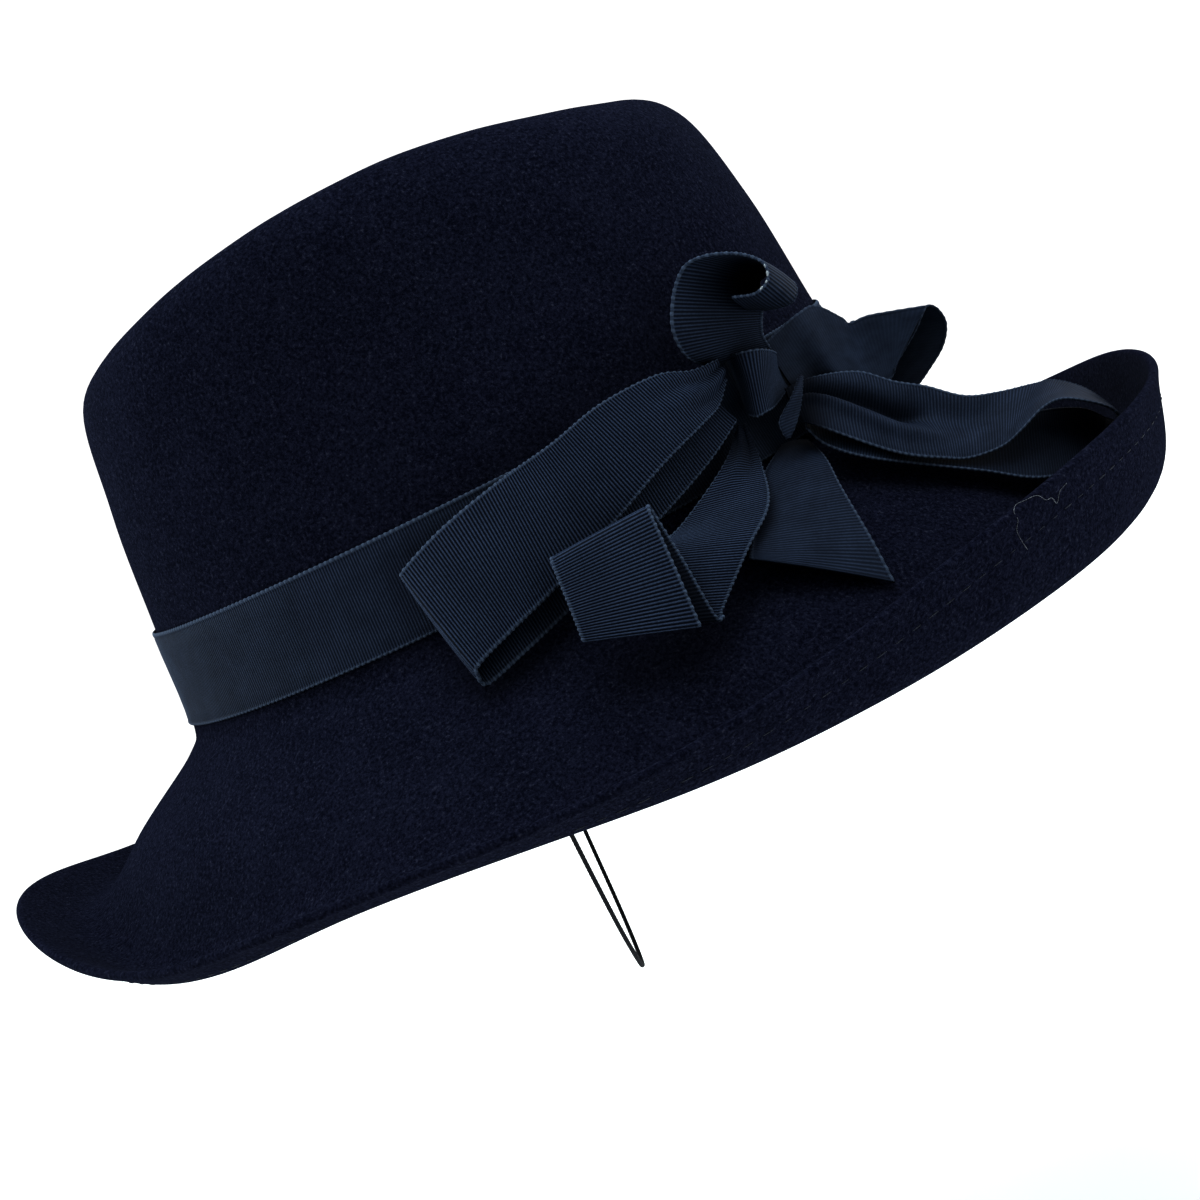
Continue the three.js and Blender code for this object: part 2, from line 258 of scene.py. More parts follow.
@dataclass(frozen=True)
class Finish:
    """A cloth finish: the numbers that stay the same all over, set on the shader's own sockets."""

    name: str
    roughness: float
    specular: float
    sheen: float
    sheen_roughness: float
    sheen_tint: Colour

    def dress(self, nodes: Nodes) -> tuple[Socket, Socket]:
        """Colour and normal of the cloth, which each kind works out in its own way."""
        raise NotImplementedError

    def make(self) -> bpy.types.Material:
        """Builds the material.

        Returns:
            The material.
        """
        material = bpy.data.materials.new(self.name)
        material.use_nodes = True
        shader = material.node_tree.nodes["Principled BSDF"]
        shader.inputs["Roughness"].default_value = self.roughness
        shader.inputs["Specular IOR Level"].default_value = self.specular
        shader.inputs["Sheen Weight"].default_value = self.sheen
        shader.inputs["Sheen Roughness"].default_value = self.sheen_roughness
        shader.inputs["Sheen Tint"].default_value = self.sheen_tint
        nodes = Nodes(material.node_tree)
        colour, normal = self.dress(nodes)
        nodes.put(colour, shader.inputs["Base Color"])
        nodes.put(normal, shader.inputs["Normal"])
        return material


@dataclass(frozen=True)
class FeltFinish(Finish):
    """Wool felt: matted grain, soft blotches, a thin haze of fibre ends, and painted shade where other
    surfaces lie close.
    """

    dark: Colour = (0.0025, 0.0033, 0.0098, 1)
    light: Colour = (0.0122, 0.0142, 0.031, 1)
    fleck: Colour = (0.041, 0.044, 0.066, 1)
    # deep is the painted shade colour, blended in where other surfaces lie close
    deep: Colour = (0.0008, 0.001, 0.003, 1)
    shade_reach: float = 7 * MM
    grain_per_m: float = 1150
    strands_per_m: float = 700
    blotch_per_m: float = 60
    grain_share: float = 0.62
    strand_share: float = 0.3
    blotch_share: float = 0.08

    def dress(self, nodes: Nodes) -> tuple[Socket, Socket]:
        """Works out the felt's colour and normal.

        Args:
            nodes: Node maker of the material.

        Returns:
            The two sockets.
        """
        place = nodes.place()
        grain = nodes.noise(place, self.grain_per_m, 4, 0.7)
        blotch = nodes.noise(place, self.blotch_per_m, 3, 0.55)
        curled = {"Vector": place, "Scale": self.strands_per_m, "Detail": 3, "Distortion": 2.5}
        strands = nodes.add("ShaderNodeTexNoise", curled).outputs["Fac"]
        matted = nodes.plus(nodes.times(grain, self.grain_share), nodes.times(strands, self.strand_share))
        body = nodes.plus(matted, nodes.times(blotch, self.blotch_share))
        base = nodes.blend(nodes.ramp(body, 0.42, 0.58), self.dark, self.light)
        flecked = nodes.blend(nodes.ramp(grain, 0.6, 0.72, 0.0, 0.8), base, self.fleck)
        # painted shade: darker where the surface is closed in within the shade reach
        shade = nodes.ramp(nodes.open_air(self.shade_reach), 0.12, 0.7, 0.55, 0.0)
        height = nodes.plus(grain, nodes.times(strands, 0.8))
        return nodes.blend(shade, flecked, self.deep), nodes.bump(height, 0.35, 0.4 * MM)


@dataclass(frozen=True)
class GrosgrainFinish(Finish):
    """Ribbed ribbon: painted highlights on rib tops and selvedge beads, painted shade in the valleys, close
    corners, deep in the tie and under other layers.
    """

    # valley is painted shade, in the rib valleys and wherever shade is painted; top is a painted highlight on
    # the rib tops
    valley: Colour = (0.0012, 0.003, 0.009, 1)
    top: Colour = (0.0465, 0.0685, 0.123, 1)
    # selvedge is a painted highlight on the selvedge beads
    selvedge: Colour = (0.072, 0.098, 0.15, 1)
    rib_pitch: float = 0.78 * MM
    tooth_pitch: float = 1.56 * MM
    shade_reach: float = 20 * MM
    threads_per_m: float = 1500
    rubs_per_m: float = 170
    wear_per_m: float = 90
    flat_share: float = 0.28

    def wave(self, nodes: Nodes, weave: Socket, pitch: float) -> Socket:
        """Cosine wave along the ribbon."""
        along = nodes.add("ShaderNodeSeparateXYZ", {0: weave}).outputs[0]
        return nodes.math("COSINE", nodes.times(along, TURN / pitch))

    def rib_light_and_shade(self, nodes: Nodes, weave: Socket, threads: Socket, pressed: Socket) -> Socket:
        """Share of the rib-top colour, a painted highlight over painted shade in the valleys: a wave over the
        ribs, levelled and unevenly rubbed where pressed.

        Args:
            nodes: Node maker of the material.
            weave: Place along and across the ribbon.
            threads: Noise of the single threads.
            pressed: How far the ribs are flattened.

        Returns:
            The share, as a socket.
        """
        # painted light and shade of the ribs: lighter on their tops, darker between them
        lit = nodes.plus(self.wave(nodes, weave, self.rib_pitch), nodes.times(nodes.minus(threads, 0.5), 1.2))
        share = nodes.ramp(lit, -0.45, 1.0)
        share = nodes.plus(share, nodes.times(nodes.minus(self.flat_share, share), pressed))
        share = nodes.times(share, nodes.ramp(nodes.noise(weave, self.wear_per_m, 2), 0.3, 0.7, 0.75, 1.0))
        rubs = nodes.ramp(nodes.noise(weave, self.rubs_per_m, 3, 0.6), 0.38, 0.68, -0.2, 0.38)
        return nodes.times(share, nodes.minus(1.0, nodes.times(rubs, pressed)))

    def selvedge_highlight(self, nodes: Nodes, weave: Socket, pressed: Socket) -> Socket:
        """Share of the selvedge colour, a painted highlight: beaded along the edges, fainter where pressed."""
        edge = nodes.ramp(nodes.attribute("edge"), 0.4, 0.9, 0.0, 0.9)
        plain = nodes.minus(1.0, nodes.times(nodes.math("POWER", pressed, 3.0), 0.8))
        beads = nodes.ramp(self.wave(nodes, weave, self.tooth_pitch), -1.0, 0.6, 0.25, 1.0)
        return nodes.times(nodes.times(edge, plain), beads)

    def shade(self, nodes: Nodes) -> Socket:
        """Share of shade: near other surfaces unless aired, and deep in the tie or under a layer."""
        # painted shade: ambient occlusion near other surfaces, lifted where aired, plus painted shade deep in
        # the tie and under layers
        close = nodes.ramp(nodes.open_air(self.shade_reach), 0.3, 0.78, 0.95, 0.0)
        close = nodes.times(close, nodes.minus(1.0, nodes.attribute("aired")))
        return nodes.math("MAXIMUM", close, nodes.times(nodes.attribute("sunk_shade"), 0.92))

    def dress(self, nodes: Nodes) -> tuple[Socket, Socket]:
        """Works out the ribbon's colour and normal from the piece's own weave map, in metres.

        Args:
            nodes: Node maker of the material.

        Returns:
            The two sockets.
        """
        weave = nodes.add("ShaderNodeUVMap", uv_map="weave").outputs["UV"]
        threads = nodes.noise(weave, self.threads_per_m, 2)
        pressed = nodes.attribute("pressed")
        # rib tops painted light and valleys painted dark, selvedge beads painted light, then painted shade
        # blended in
        body = nodes.blend(self.rib_light_and_shade(nodes, weave, threads, pressed), self.valley, self.top)
        edged = nodes.blend(self.selvedge_highlight(nodes, weave, pressed), body, self.selvedge)
        return nodes.blend(self.shade(nodes), edged, self.valley), nodes.bump(threads, 0.25, 0.1 * MM)


@dataclass(frozen=True)
class ThreadFinish(Finish):
    """Sewing thread, braid or lint: one colour, broken up along the fibre."""

    dark: Colour = (0.002, 0.002, 0.003, 1)
    light: Colour = (0.012, 0.013, 0.017, 1)
    fibre_per_m: float = 3000

    def dress(self, nodes: Nodes) -> tuple[Socket, Socket]:
        """Works out the thread's colour and normal.

        Args:
            nodes: Node maker of the material.

        Returns:
            The two sockets.
        """
        fibre = nodes.noise(nodes.place(), self.fibre_per_m, 2)
        colour = nodes.blend(nodes.ramp(fibre, 0.35, 0.65), self.dark, self.light)
        return colour, nodes.bump(fibre, 0.3, 0.1 * MM)


THREAD_SHEEN = (0.16, 0.19, 0.26, 1)
FELT = FeltFinish("wool_felt", 1.0, 0.0, 0.03, 0.5, (0.5, 0.56, 0.75, 1))
RIBBON = GrosgrainFinish("grosgrain", 0.6, 0.06, 0.02, 0.4, (0.5, 0.6, 0.8, 1))
BRAID = ThreadFinish("elastic_braid", 0.8, 0.2, 0.05, 0.5, THREAD_SHEEN)
SEWING = ThreadFinish(
    "sewing_thread", 0.7, 0.2, 0.05, 0.5, THREAD_SHEEN,
    dark=(0.012, 0.015, 0.026, 1), light=(0.035, 0.04, 0.056, 1),
)
FRAYED = ThreadFinish(
    "loose_thread", 0.8, 0.2, 0.05, 0.5, THREAD_SHEEN,
    dark=(0.12, 0.14, 0.17, 1), light=(0.6, 0.65, 0.7, 1),
)
LINT = ThreadFinish(
    "lint", 0.8, 0.2, 0.05, 0.5, THREAD_SHEEN,
    dark=(0.03, 0.034, 0.045, 1), light=(0.2, 0.21, 0.24, 1),
)


# ---------------------------------------------------------------- geometry node trees
class GeometryTree:
    """A geometry node tree with named inputs, ending in Realize Instances and Set Material."""

    def __init__(self, name: str, inputs: dict[str, float | int]) -> None:
        """Starts the tree.

        Args:
            name: Name of the tree.
            inputs: Default value of each named input; a whole number makes an integer input.
        """
        self.tree = bpy.data.node_groups.new(name, "GeometryNodeTree")
        self.nodes = Nodes(self.tree)
        face = self.tree.interface
        face.new_socket(name="Geometry", in_out="INPUT", socket_type="NodeSocketGeometry")
        face.new_socket(name="Geometry", in_out="OUTPUT", socket_type="NodeSocketGeometry")
        for key, value in inputs.items():
            kind = "NodeSocketInt" if isinstance(value, int) else "NodeSocketFloat"
            face.new_socket(name=key, in_out="INPUT", socket_type=kind).default_value = value
        face.new_socket(name="Material", in_out="INPUT", socket_type="NodeSocketMaterial")
        self.given = self.tree.nodes.new("NodeGroupInput")

    def value(self, name: str) -> Socket:
        """Socket of a named input."""
        return self.given.outputs[name]

    def attribute(self, name: str, kind: str = "FLOAT") -> Socket:
        """Attribute that the piece carries at each vertex."""
        return self.nodes.add("GeometryNodeInputNamedAttribute", {"Name": name}, data_type=kind).outputs[0]

    def scaled(self, vector: Socket, share: Socket) -> Socket:
        """Vector times a number."""
        inputs = {0: vector, "Scale": share}
        return self.nodes.add("ShaderNodeVectorMath", inputs, operation="SCALE").outputs[0]

    def end(self, geometry: Socket) -> None:
        """Realizes instances, sets the material and closes the tree.

        Args:
            geometry: The tree's result before its last two nodes.
        """
        real = self.nodes.add("GeometryNodeRealizeInstances", {"Geometry": geometry})
        inputs = {"Geometry": real.outputs[0], "Material": self.value("Material")}
        painted = self.nodes.add("GeometryNodeSetMaterial", inputs)
        self.nodes.add("NodeGroupOutput", {"Geometry": painted.outputs[0]})

    def end_moved(self, offset: Socket) -> None:
        """Moves the piece's own vertices by an offset and closes the tree."""
        inputs = {"Geometry": self.value("Geometry"), "Offset": offset}
        self.end(self.nodes.add("GeometryNodeSetPosition", inputs).outputs[0])

    def bake(self, piece: bpy.types.Object, finish: bpy.types.Material, **values: float) -> bpy.types.Object:
        """Runs the tree on a piece and keeps the result as its plain mesh.

        Args:
            piece: Mesh or curve object that the tree reads.
            finish: Material of the result.
            **values: Input values, named with underscores for spaces.

        Returns:
            The piece, now one plain mesh without a modifier.
        """
        modifier = piece.modifiers.new(self.tree.name, "NODES")
        modifier.node_group = self.tree
        named = {key.replace("_", " "): value for key, value in values.items()} | {"Material": finish}
        for socket in self.tree.interface.items_tree:
            if socket.item_type == "SOCKET" and socket.in_out == "INPUT" and socket.name in named:
                modifier[socket.identifier] = named[socket.name]
        graph = bpy.context.evaluated_depsgraph_get()
        solid = piece.evaluated_get(graph)
        baked = bpy.data.meshes.new_from_object(solid, preserve_all_data_layers=True, depsgraph=graph)
        baked.name = piece.name
        if piece.type == "MESH":
            piece.modifiers.clear()
            piece.data = baked
            return piece
        name = piece.name
        bpy.data.objects.remove(piece)
        return in_scene(name, baked)


def grosgrain_tree() -> GeometryTree:
    """Raises crosswise ribs on a ribbon and cuts its selvedges into small teeth.

    Returns:
        The tree. It reads the attributes along, lift, outward and edge of the ribbon.
    """
    inputs = {
        "Rib Pitch": 0.78 * MM,
        "Rib Height": 0.16 * MM,
        "Tooth Pitch": 1.56 * MM,
        "Tooth Length": 0.3 * MM,
        "Unevenness": 0.35,
        "Seed": 7,
    }
    made = GeometryTree("grosgrain", inputs)
    n = made.nodes
    along = made.attribute("along")
    waves = n.plus(n.times(along, 700.0), n.times(made.value("Seed"), 31.7))
    noise = n.add("ShaderNodeTexNoise", {"W": waves, "Scale": 1.0}, noise_dimensions="1D").outputs["Fac"]
    uneven = n.plus(n.times(n.minus(noise, 0.5), made.value("Unevenness")), 1.0)

    def wave(pitch: str, height: str) -> Socket:
        """Uneven wave along the ribbon, from 0 to the named height."""
        turns = n.math("DIVIDE", n.times(along, TURN), made.value(pitch))
        swing = n.times(n.plus(n.math("COSINE", turns), 1.0), 0.5)
        return n.times(n.times(swing, made.value(height)), uneven)

    raised = made.scaled(made.attribute("lift", "FLOAT_VECTOR"), wave("Rib Pitch", "Rib Height"))
    tooth = n.times(wave("Tooth Pitch", "Tooth Length"), made.attribute("edge"))
    toothed = made.scaled(made.attribute("outward", "FLOAT_VECTOR"), tooth)
    made.end_moved(n.add("ShaderNodeVectorMath", {0: raised, 1: toothed}).outputs[0])
    return made


def running_stitch_tree() -> GeometryTree:
    """Lays separate stitches along a line.

    Returns:
        The tree. It reads a curve.
    """
    inputs = {
        "Pitch": 5.0 * MM,
        "Stitch Length": 2.6 * MM,
        "Thread Radius": 0.16 * MM,
        "Unevenness": 0.3,
        "Seed": 3,
    }
    made = GeometryTree("running_stitch", inputs)
    n = made.nodes
    spaced = {"Curve": made.value("Geometry"), "Length": made.value("Pitch")}
    line = n.add("GeometryNodeResampleCurve", spaced, mode="LENGTH").outputs[0]
    points = n.add("GeometryNodeCurveToPoints", {"Curve": line}, mode="EVALUATED")
    size = n.add("FunctionNodeRandomValue", {"Seed": made.value("Seed")}, data_type="FLOAT")
    n.put(n.minus(1.0, made.value("Unevenness")), size.inputs[2])
    n.put(n.plus(1.0, made.value("Unevenness")), size.inputs[3])
    radius = made.value("Thread Radius")
    half = n.times(made.value("Stitch Length"), 0.5)
    shape = n.add("ShaderNodeCombineXYZ", {0: radius, 1: radius, 2: half}).outputs[0]
    sewn = {
        "Points": points.outputs["Points"],
        "Instance": n.add("GeometryNodeMeshIcoSphere", {"Radius": 1.0, "Subdivisions": 2}).outputs[0],
        "Rotation": points.outputs["Rotation"],
        "Scale": made.scaled(shape, size.outputs[1]),
    }
    made.end(n.add("GeometryNodeInstanceOnPoints", sewn).outputs[0])
    return made


def braid_tree() -> GeometryTree:
    """Raises the crossing yarns of a round braid on a tube.

    Returns:
        The tree. It reads the attributes along, around and lift of the tube.
    """
    made = GeometryTree("braid", {"Yarn Pitch": 1.6 * MM, "Yarn Height": 0.08 * MM, "Yarns": 4})
    n = made.nodes
    turns = n.math("DIVIDE", n.times(made.attribute("along"), TURN), made.value("Yarn Pitch"))
    round_it = n.times(made.attribute("around"), made.value("Yarns"))
    one = n.math("COSINE", n.plus(turns, round_it))
    other = n.math("COSINE", n.minus(turns, round_it))
    height = n.times(n.math("MAXIMUM", one, other), made.value("Yarn Height"))
    made.end_moved(made.scaled(made.attribute("lift", "FLOAT_VECTOR"), height))
    return made


# ---------------------------------------------------------------- felt
@dataclass(frozen=True)
class Ring:
    """One ring of the felt, in millimetres: plan reach from the crown axis and height every 30 degrees.

    The swells widen its four corners, sway is its share of the hat's lopsided wave, and the rows say
    how closely the mesh is spaced up to it.
    """

    name: str
    front: float
    side: float
    back: float
    heights: tuple[float, ...]
    swell_front: float = 0.0
    swell_back: float = 0.0
    sway: float = 0.0
    outer_rows: int = 10
    inner_rows: int = 6


RINGS = (
    Ring("tip", 0, 0, 0, (89,) * 7),
    Ring("dent floor", 44, 33, 46, (87,) * 7, outer_rows=8, inner_rows=4),
    Ring("ridge", 73, 55, 70, (96.5, 98, 103, 106, 103, 98.5, 96.5), outer_rows=10),
    Ring("shoulder", 88.7, 69, 89.3, (87.5, 88, 92, 96.5, 97, 91.5, 89), outer_rows=12),
    Ring("crown middle", 95.8, 76, 96.5, (60,) * 7, outer_rows=10),
    Ring("band top", 99.5, 82.5, 101, (25,) * 7, outer_rows=8, inner_rows=4),
    Ring("crown base", 103.5, 87.5, 103.5, (0,) * 7, outer_rows=8, inner_rows=4),
    Ring("brim break", 109, 94, 109, (-8, -8.2, -9.2, -10, -9.2, -8.2, -8), outer_rows=8, inner_rows=8),
    Ring(
        "brim middle", 133, 113.5, 130, (-26, -30, -31, -27, -24.5, -24.5, -20.5),
        swell_front=0.027, swell_back=-0.018, sway=0.5, outer_rows=10, inner_rows=10,
    ),
    Ring(
        "gutter", 158.5, 133, 151, (-45.5, -52, -52, -42.7, -37.8, -43.4, -33),
        swell_front=0.055, swell_back=-0.045, sway=1, outer_rows=14, inner_rows=14,
    ),
    Ring(
        "rim edge", 168.5, 146, 167, (-24.5, -28.5, -31, -35, -34, -35.6, -22),
        swell_front=0.055, swell_back=-0.045, sway=1, outer_rows=16, inner_rows=18,
    ),
)
BAND_TOP = 5
BAND_MIDDLE = 5.5


@dataclass
class FeltBody:
    """Crown and brim, one piece of pressed felt. Lengths are in millimetres until the mesh is made."""

    finish: FeltFinish
    wall: float = 2.5
    tilt: float = 1.1
    twist: float = -2.9
    wave: float = -1.9
    around: int = 288
    rim_rows: int = 9
    ripple: float = 0.3

    def __post_init__(self) -> None:
        """Works out the cosine series of each ring's heights."""
        k = np.arange(7)
        weight = np.where((k == 0) | (k == 6), 0.5, 1.0)
        basis = np.cos(np.outer(k, k) * math.pi / 6) * weight
        share = np.where((k == 0) | (k == 6), 1.0, 2.0) / 6
        self.series = np.array([share * (basis @ np.array(ring.heights, float)) for ring in RINGS])

    def ring_points(self, th: np.ndarray) -> np.ndarray:
        """Points of every ring.

        Args:
            th: Angles from the front.

        Returns:
            Array of ring, angle and coordinate.
        """
        out = np.empty((len(RINGS), len(th), 3))
        sway = self.tilt * np.sin(th) + self.twist * np.sin(2 * th) + self.wave * np.sin(3 * th)
        for r, ring in enumerate(RINGS):
            reach = (ring.front + ring.back) / 2 + (ring.front - ring.back) / 2 * np.cos(th)
            swell = (ring.swell_front * (1 + np.cos(th)) + ring.swell_back * (1 - np.cos(th))) / 2
            bulge = 1 + swell * np.sin(2 * th) ** 2
            out[r, :, 0] = reach * np.cos(th) * bulge
            out[r, :, 1] = ring.side * np.sin(th) * bulge
            out[r, :, 2] = np.cos(np.outer(th, np.arange(7))) @ self.series[r] + ring.sway * sway
        return out

    def surface(self, u: np.ndarray, th: np.ndarray, inward: float = 0.0, rippled: bool = True) -> np.ndarray:
        """Points of the felt.

        Args:
            u: Ring parameters.
            th: Angles from the front.
            inward: Distance below the outer face.
            rippled: Whether the slight unevenness of hand-blocked felt is on it.

        Returns:
            Array of ring parameter, angle and coordinate.
        """
        points = catmull_rom(self.ring_points(th), u)
        if not rippled and not inward:
            return points
        normal = self.normal(u, th)
        offset = np.full(points.shape[:2], -float(inward))
        if rippled:
            offset += self.ripples(u, th)
        return points + normal * offset[:, :, None]

    def ripples(self, u: np.ndarray, th: np.ndarray) -> np.ndarray:
        """Height of the slight unevenness, none of it under the band."""
        free = smooth_step((np.abs(u - BAND_MIDDLE) - 0.75) / 0.9)[:, None]
        a = np.sin(3 * th[None] + 1.7 * u[:, None]) * np.sin(2.3 * u[:, None] + 0.6)
        b = np.sin(8 * th[None] - 2.1 * u[:, None] + 1.1) * np.cos(1.9 * u[:, None])
        c = np.sin(17 * th[None] + 3.3 * u[:, None])
        rise = smooth_step(u / 2)[:, None]
        return self.ripple * free * rise * (0.5 * a + 0.35 * b + 0.15 * c)

    def normal(self, u: np.ndarray, th: np.ndarray) -> np.ndarray:
        """Outward unit normals of the felt's outer face.

        Args:
            u: Ring parameters.
            th: Angles from the front.

        Returns:
            Array of ring parameter, angle and coordinate.
        """
        step, near_tip, tip = 0.02, 0.05, 0.01
        middle = np.maximum(u, near_tip)
        ahead, behind = np.minimum(middle + step, len(RINGS) - 1), np.maximum(middle - step, tip)
        here = self.ring_points(th)
        du = catmull_rom(here, ahead) - catmull_rom(here, behind)
        left, right = self.ring_points(th + step), self.ring_points(th - step)
        return unit(np.cross(du, catmull_rom(left, middle) - catmull_rom(right, middle)))

    def rows(self, key: str) -> np.ndarray:
        """Ring parameters of a face's rows, from the tip outwards, without the tip itself."""
        counts = [getattr(ring, key) for ring in RINGS[1:]]
        return np.concatenate([np.arange(1, count + 1) / count + i for i, count in enumerate(counts)])

    def build(self) -> bpy.types.Object:
        """Makes the felt as one closed wall.

        Returns:
            The felt piece.
        """
        th = np.arange(self.around) * TURN / self.around
        outer_u = self.rows("outer_rows")
        inner_u = self.rows("inner_rows")[::-1]
        last = np.array([float(len(RINGS) - 1)])
        outer = self.surface(outer_u, th)
        inner = self.surface(inner_u, th, self.wall)
        edge = outer[-1]
        n = self.normal(last, th)[0]
        out = edge - self.surface(last - 0.05, th)[0]
        out = unit(out - (out * n).sum(-1, keepdims=True) * n)
        turns = np.arange(1, self.rim_rows + 1) / (self.rim_rows + 1) * math.pi
        half = self.wall / 2
        rim = np.array([edge + n * (half * math.cos(t) - half) + out * half * math.sin(t) for t in turns])
        rows = np.concatenate([outer, rim, inner])
        top = self.surface(np.array([0.0]), th[:1], rippled=False)[0, 0]
        under = top - np.array([0, 0, self.wall])
        points = np.concatenate([rows.reshape(-1, 3), [top, under]]) * MM
        quads = grid_faces(len(rows), self.around, False, True)
        start = np.arange(self.around)
        nxt = (start + 1) % self.around
        end = (len(rows) - 1) * self.around
        tip = np.stack([np.full_like(start, len(points) - 2), start, nxt], -1)
        low = np.stack([start + end, np.full_like(start, len(points) - 1), nxt + end], -1)
        felt = new_mesh("felt_hat", points, [*quads.tolist(), *tip.tolist(), *low.tolist()])
        felt.data.materials.append(self.finish.make())
        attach(felt, BODY)
        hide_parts("felt_body")
        return felt


# ---------------------------------------------------------------- ribbons
@dataclass(frozen=True)
class Grosgrain:
    """The ribbon itself: how it is woven, in millimetres."""

    finish: GrosgrainFinish
    rib_pitch: float = 0.78
    rib_height: float = 0.24
    tooth_pitch: float = 1.56
    tooth_length: float = 0.22
    thickness: float = 0.6
    steps_per_rib: int = 4


@dataclass(frozen=True)
class Lie:
    """How a ribbon piece lies, each number from 0 to 1, for all of it or for each column along it.

    Pressed flattens its ribs and weakens their painted light and shade. The other three paint shade on it:
    deep in the tie; under another layer, but less at its selvedges; and, for the last, taking away the painted
    shade of what lies close to it.
    """

    pressed: float = 0.0
    sunk_shade: np.ndarray | float = 0.0
    covered_shade: np.ndarray | float = 0.0
    aired: np.ndarray | float = 0.0


SELVEDGE = np.array([0, 0.006, 0.018, 0.028, 0.042, 0.055])
SELVEDGE_HEIGHT = (0.4, 1.0, 1.35, 1.2, 0.7, 1.0)


def ribbon_rows(inner: Sequence[float]) -> np.ndarray:
    """Places across a ribbon: close together at both selvedges, with inner rows between."""
    return np.concatenate([SELVEDGE, inner, 1 - SELVEDGE[::-1]])


ROWS_PLAIN = ribbon_rows((0.12, 0.24, 0.37, 0.5, 0.63, 0.76, 0.88))
ROWS_BAND = ribbon_rows((0.2, 0.4, 0.6, 0.8))
ROWS_FOLDED = ribbon_rows(np.linspace(0.08, 0.92, 22))


@dataclass
class RibbonMaker:
    """Weaves ribbon pieces: a grid of two faces and two selvedges, then ribs and teeth."""

    ribbon: Grosgrain

    def __post_init__(self) -> None:
        """Makes the finish and the tree once for all the pieces."""
        self.material = self.ribbon.finish.make()
        self.tree = grosgrain_tree()

    def skin(self, columns: int, count: int, closed: bool) -> list[list[int]]:
        """Faces of a ribbon whose sections are numbered one after another.

        Args:
            columns: Number of sections along the ribbon.
            count: Vertices in one section, once round it.
            closed: Whether the ribbon is a closed ring; if not, its two ends are closed off.

        Returns:
            Vertex numbers of each face.
        """
        faces = grid_faces(columns, count, closed, True).tolist()
        if closed:
            return faces
        final = (columns - 1) * count
        for i in range(count // 2 - 1):
            j = count - 1 - i
            faces.append([i, i + 1, j - 1, j])
            faces.append([final + j, final + j - 1, final + i + 1, final + i])
        return faces

    def weave(
        self,
        name: str,
        face: np.ndarray,
        normal: np.ndarray,
        across: np.ndarray,
        along: np.ndarray,
        closed: bool,
        seed: int,
        lie: Lie,
    ) -> bpy.types.Object:
        """Makes one ribbon piece.

        Args:
            name: Name of the piece.
            face: Middle surface in millimetres, by place across and place along.
            normal: Unit normals of it.
            across: Place across of each row, 0 and 1 at the selvedges.
            along: Distance along of each column, in millimetres.
            closed: Whether the ribbon is a closed ring.
            seed: Seed of its unevenness.
            lie: How it lies.

        Returns:
            The ribbon piece.
        """
        ribbon = self.ribbon
        half = ribbon.thickness / 2 - ribbon.rib_height / 2
        rim = np.minimum(across, 1 - across)
        bead = np.interp(rim, SELVEDGE, SELVEDGE_HEIGHT)[:, None, None]
        rows = np.concatenate([face + normal * half * bead, (face - normal * half * bead)[::-1]])
        lift = np.concatenate([normal * bead, -(normal * bead)[::-1]])
        side = unit(face[-1] - face[0])[None] * np.where(across < 0.5, -1.0, 1.0)[:, None, None]
        outward = np.concatenate([side, side[::-1]])
        nearness = smooth_step((0.038 - rim) / 0.018)
        edge = np.concatenate([nearness, nearness[::-1]])
        count, columns = rows.shape[:2]
        spread = np.concatenate([across, across[::-1]])
        uv = grid_uv(along * MM, spread * RIBBON_WIDTH * MM)

        def by_column(values: np.ndarray) -> np.ndarray:
            """Vectors in the order of the vertices, one section after another."""
            return values.transpose(1, 0, 2).reshape(-1, 3)

        shades = (lie.sunk_shade, lie.covered_shade, lie.aired)
        sunk_shade, covered_shade, aired = (np.broadcast_to(shade, columns)[:, None] for shade in shades)
        piece = new_mesh(name, by_column(rows) * MM, self.skin(columns, count, closed), uv)
        add_attribute(piece, "along", np.repeat(along * MM, count))
        add_attribute(piece, "edge", np.tile(edge, columns))
        add_attribute(piece, "pressed", np.full(columns * count, lie.pressed))
        # painted shade deep in the tie and under other layers, less at the selvedges
        add_attribute(piece, "sunk_shade", np.maximum(sunk_shade, covered_shade * (1 - 0.8 * edge)).ravel())
        add_attribute(piece, "aired", np.repeat(aired, count))
        add_attribute(piece, "lift", by_column(lift))
        add_attribute(piece, "outward", by_column(outward))
        self.tree.bake(
            piece,
            self.material,
            Rib_Pitch=ribbon.rib_pitch * MM,
            Rib_Height=ribbon.rib_height * (1 - 0.9 * lie.pressed) * MM,
            Tooth_Pitch=ribbon.tooth_pitch * MM,
            Tooth_Length=ribbon.tooth_length * (1 - 0.6 * lie.pressed) * MM,
            Seed=seed,
        )
        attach(piece, BODY)
        return piece


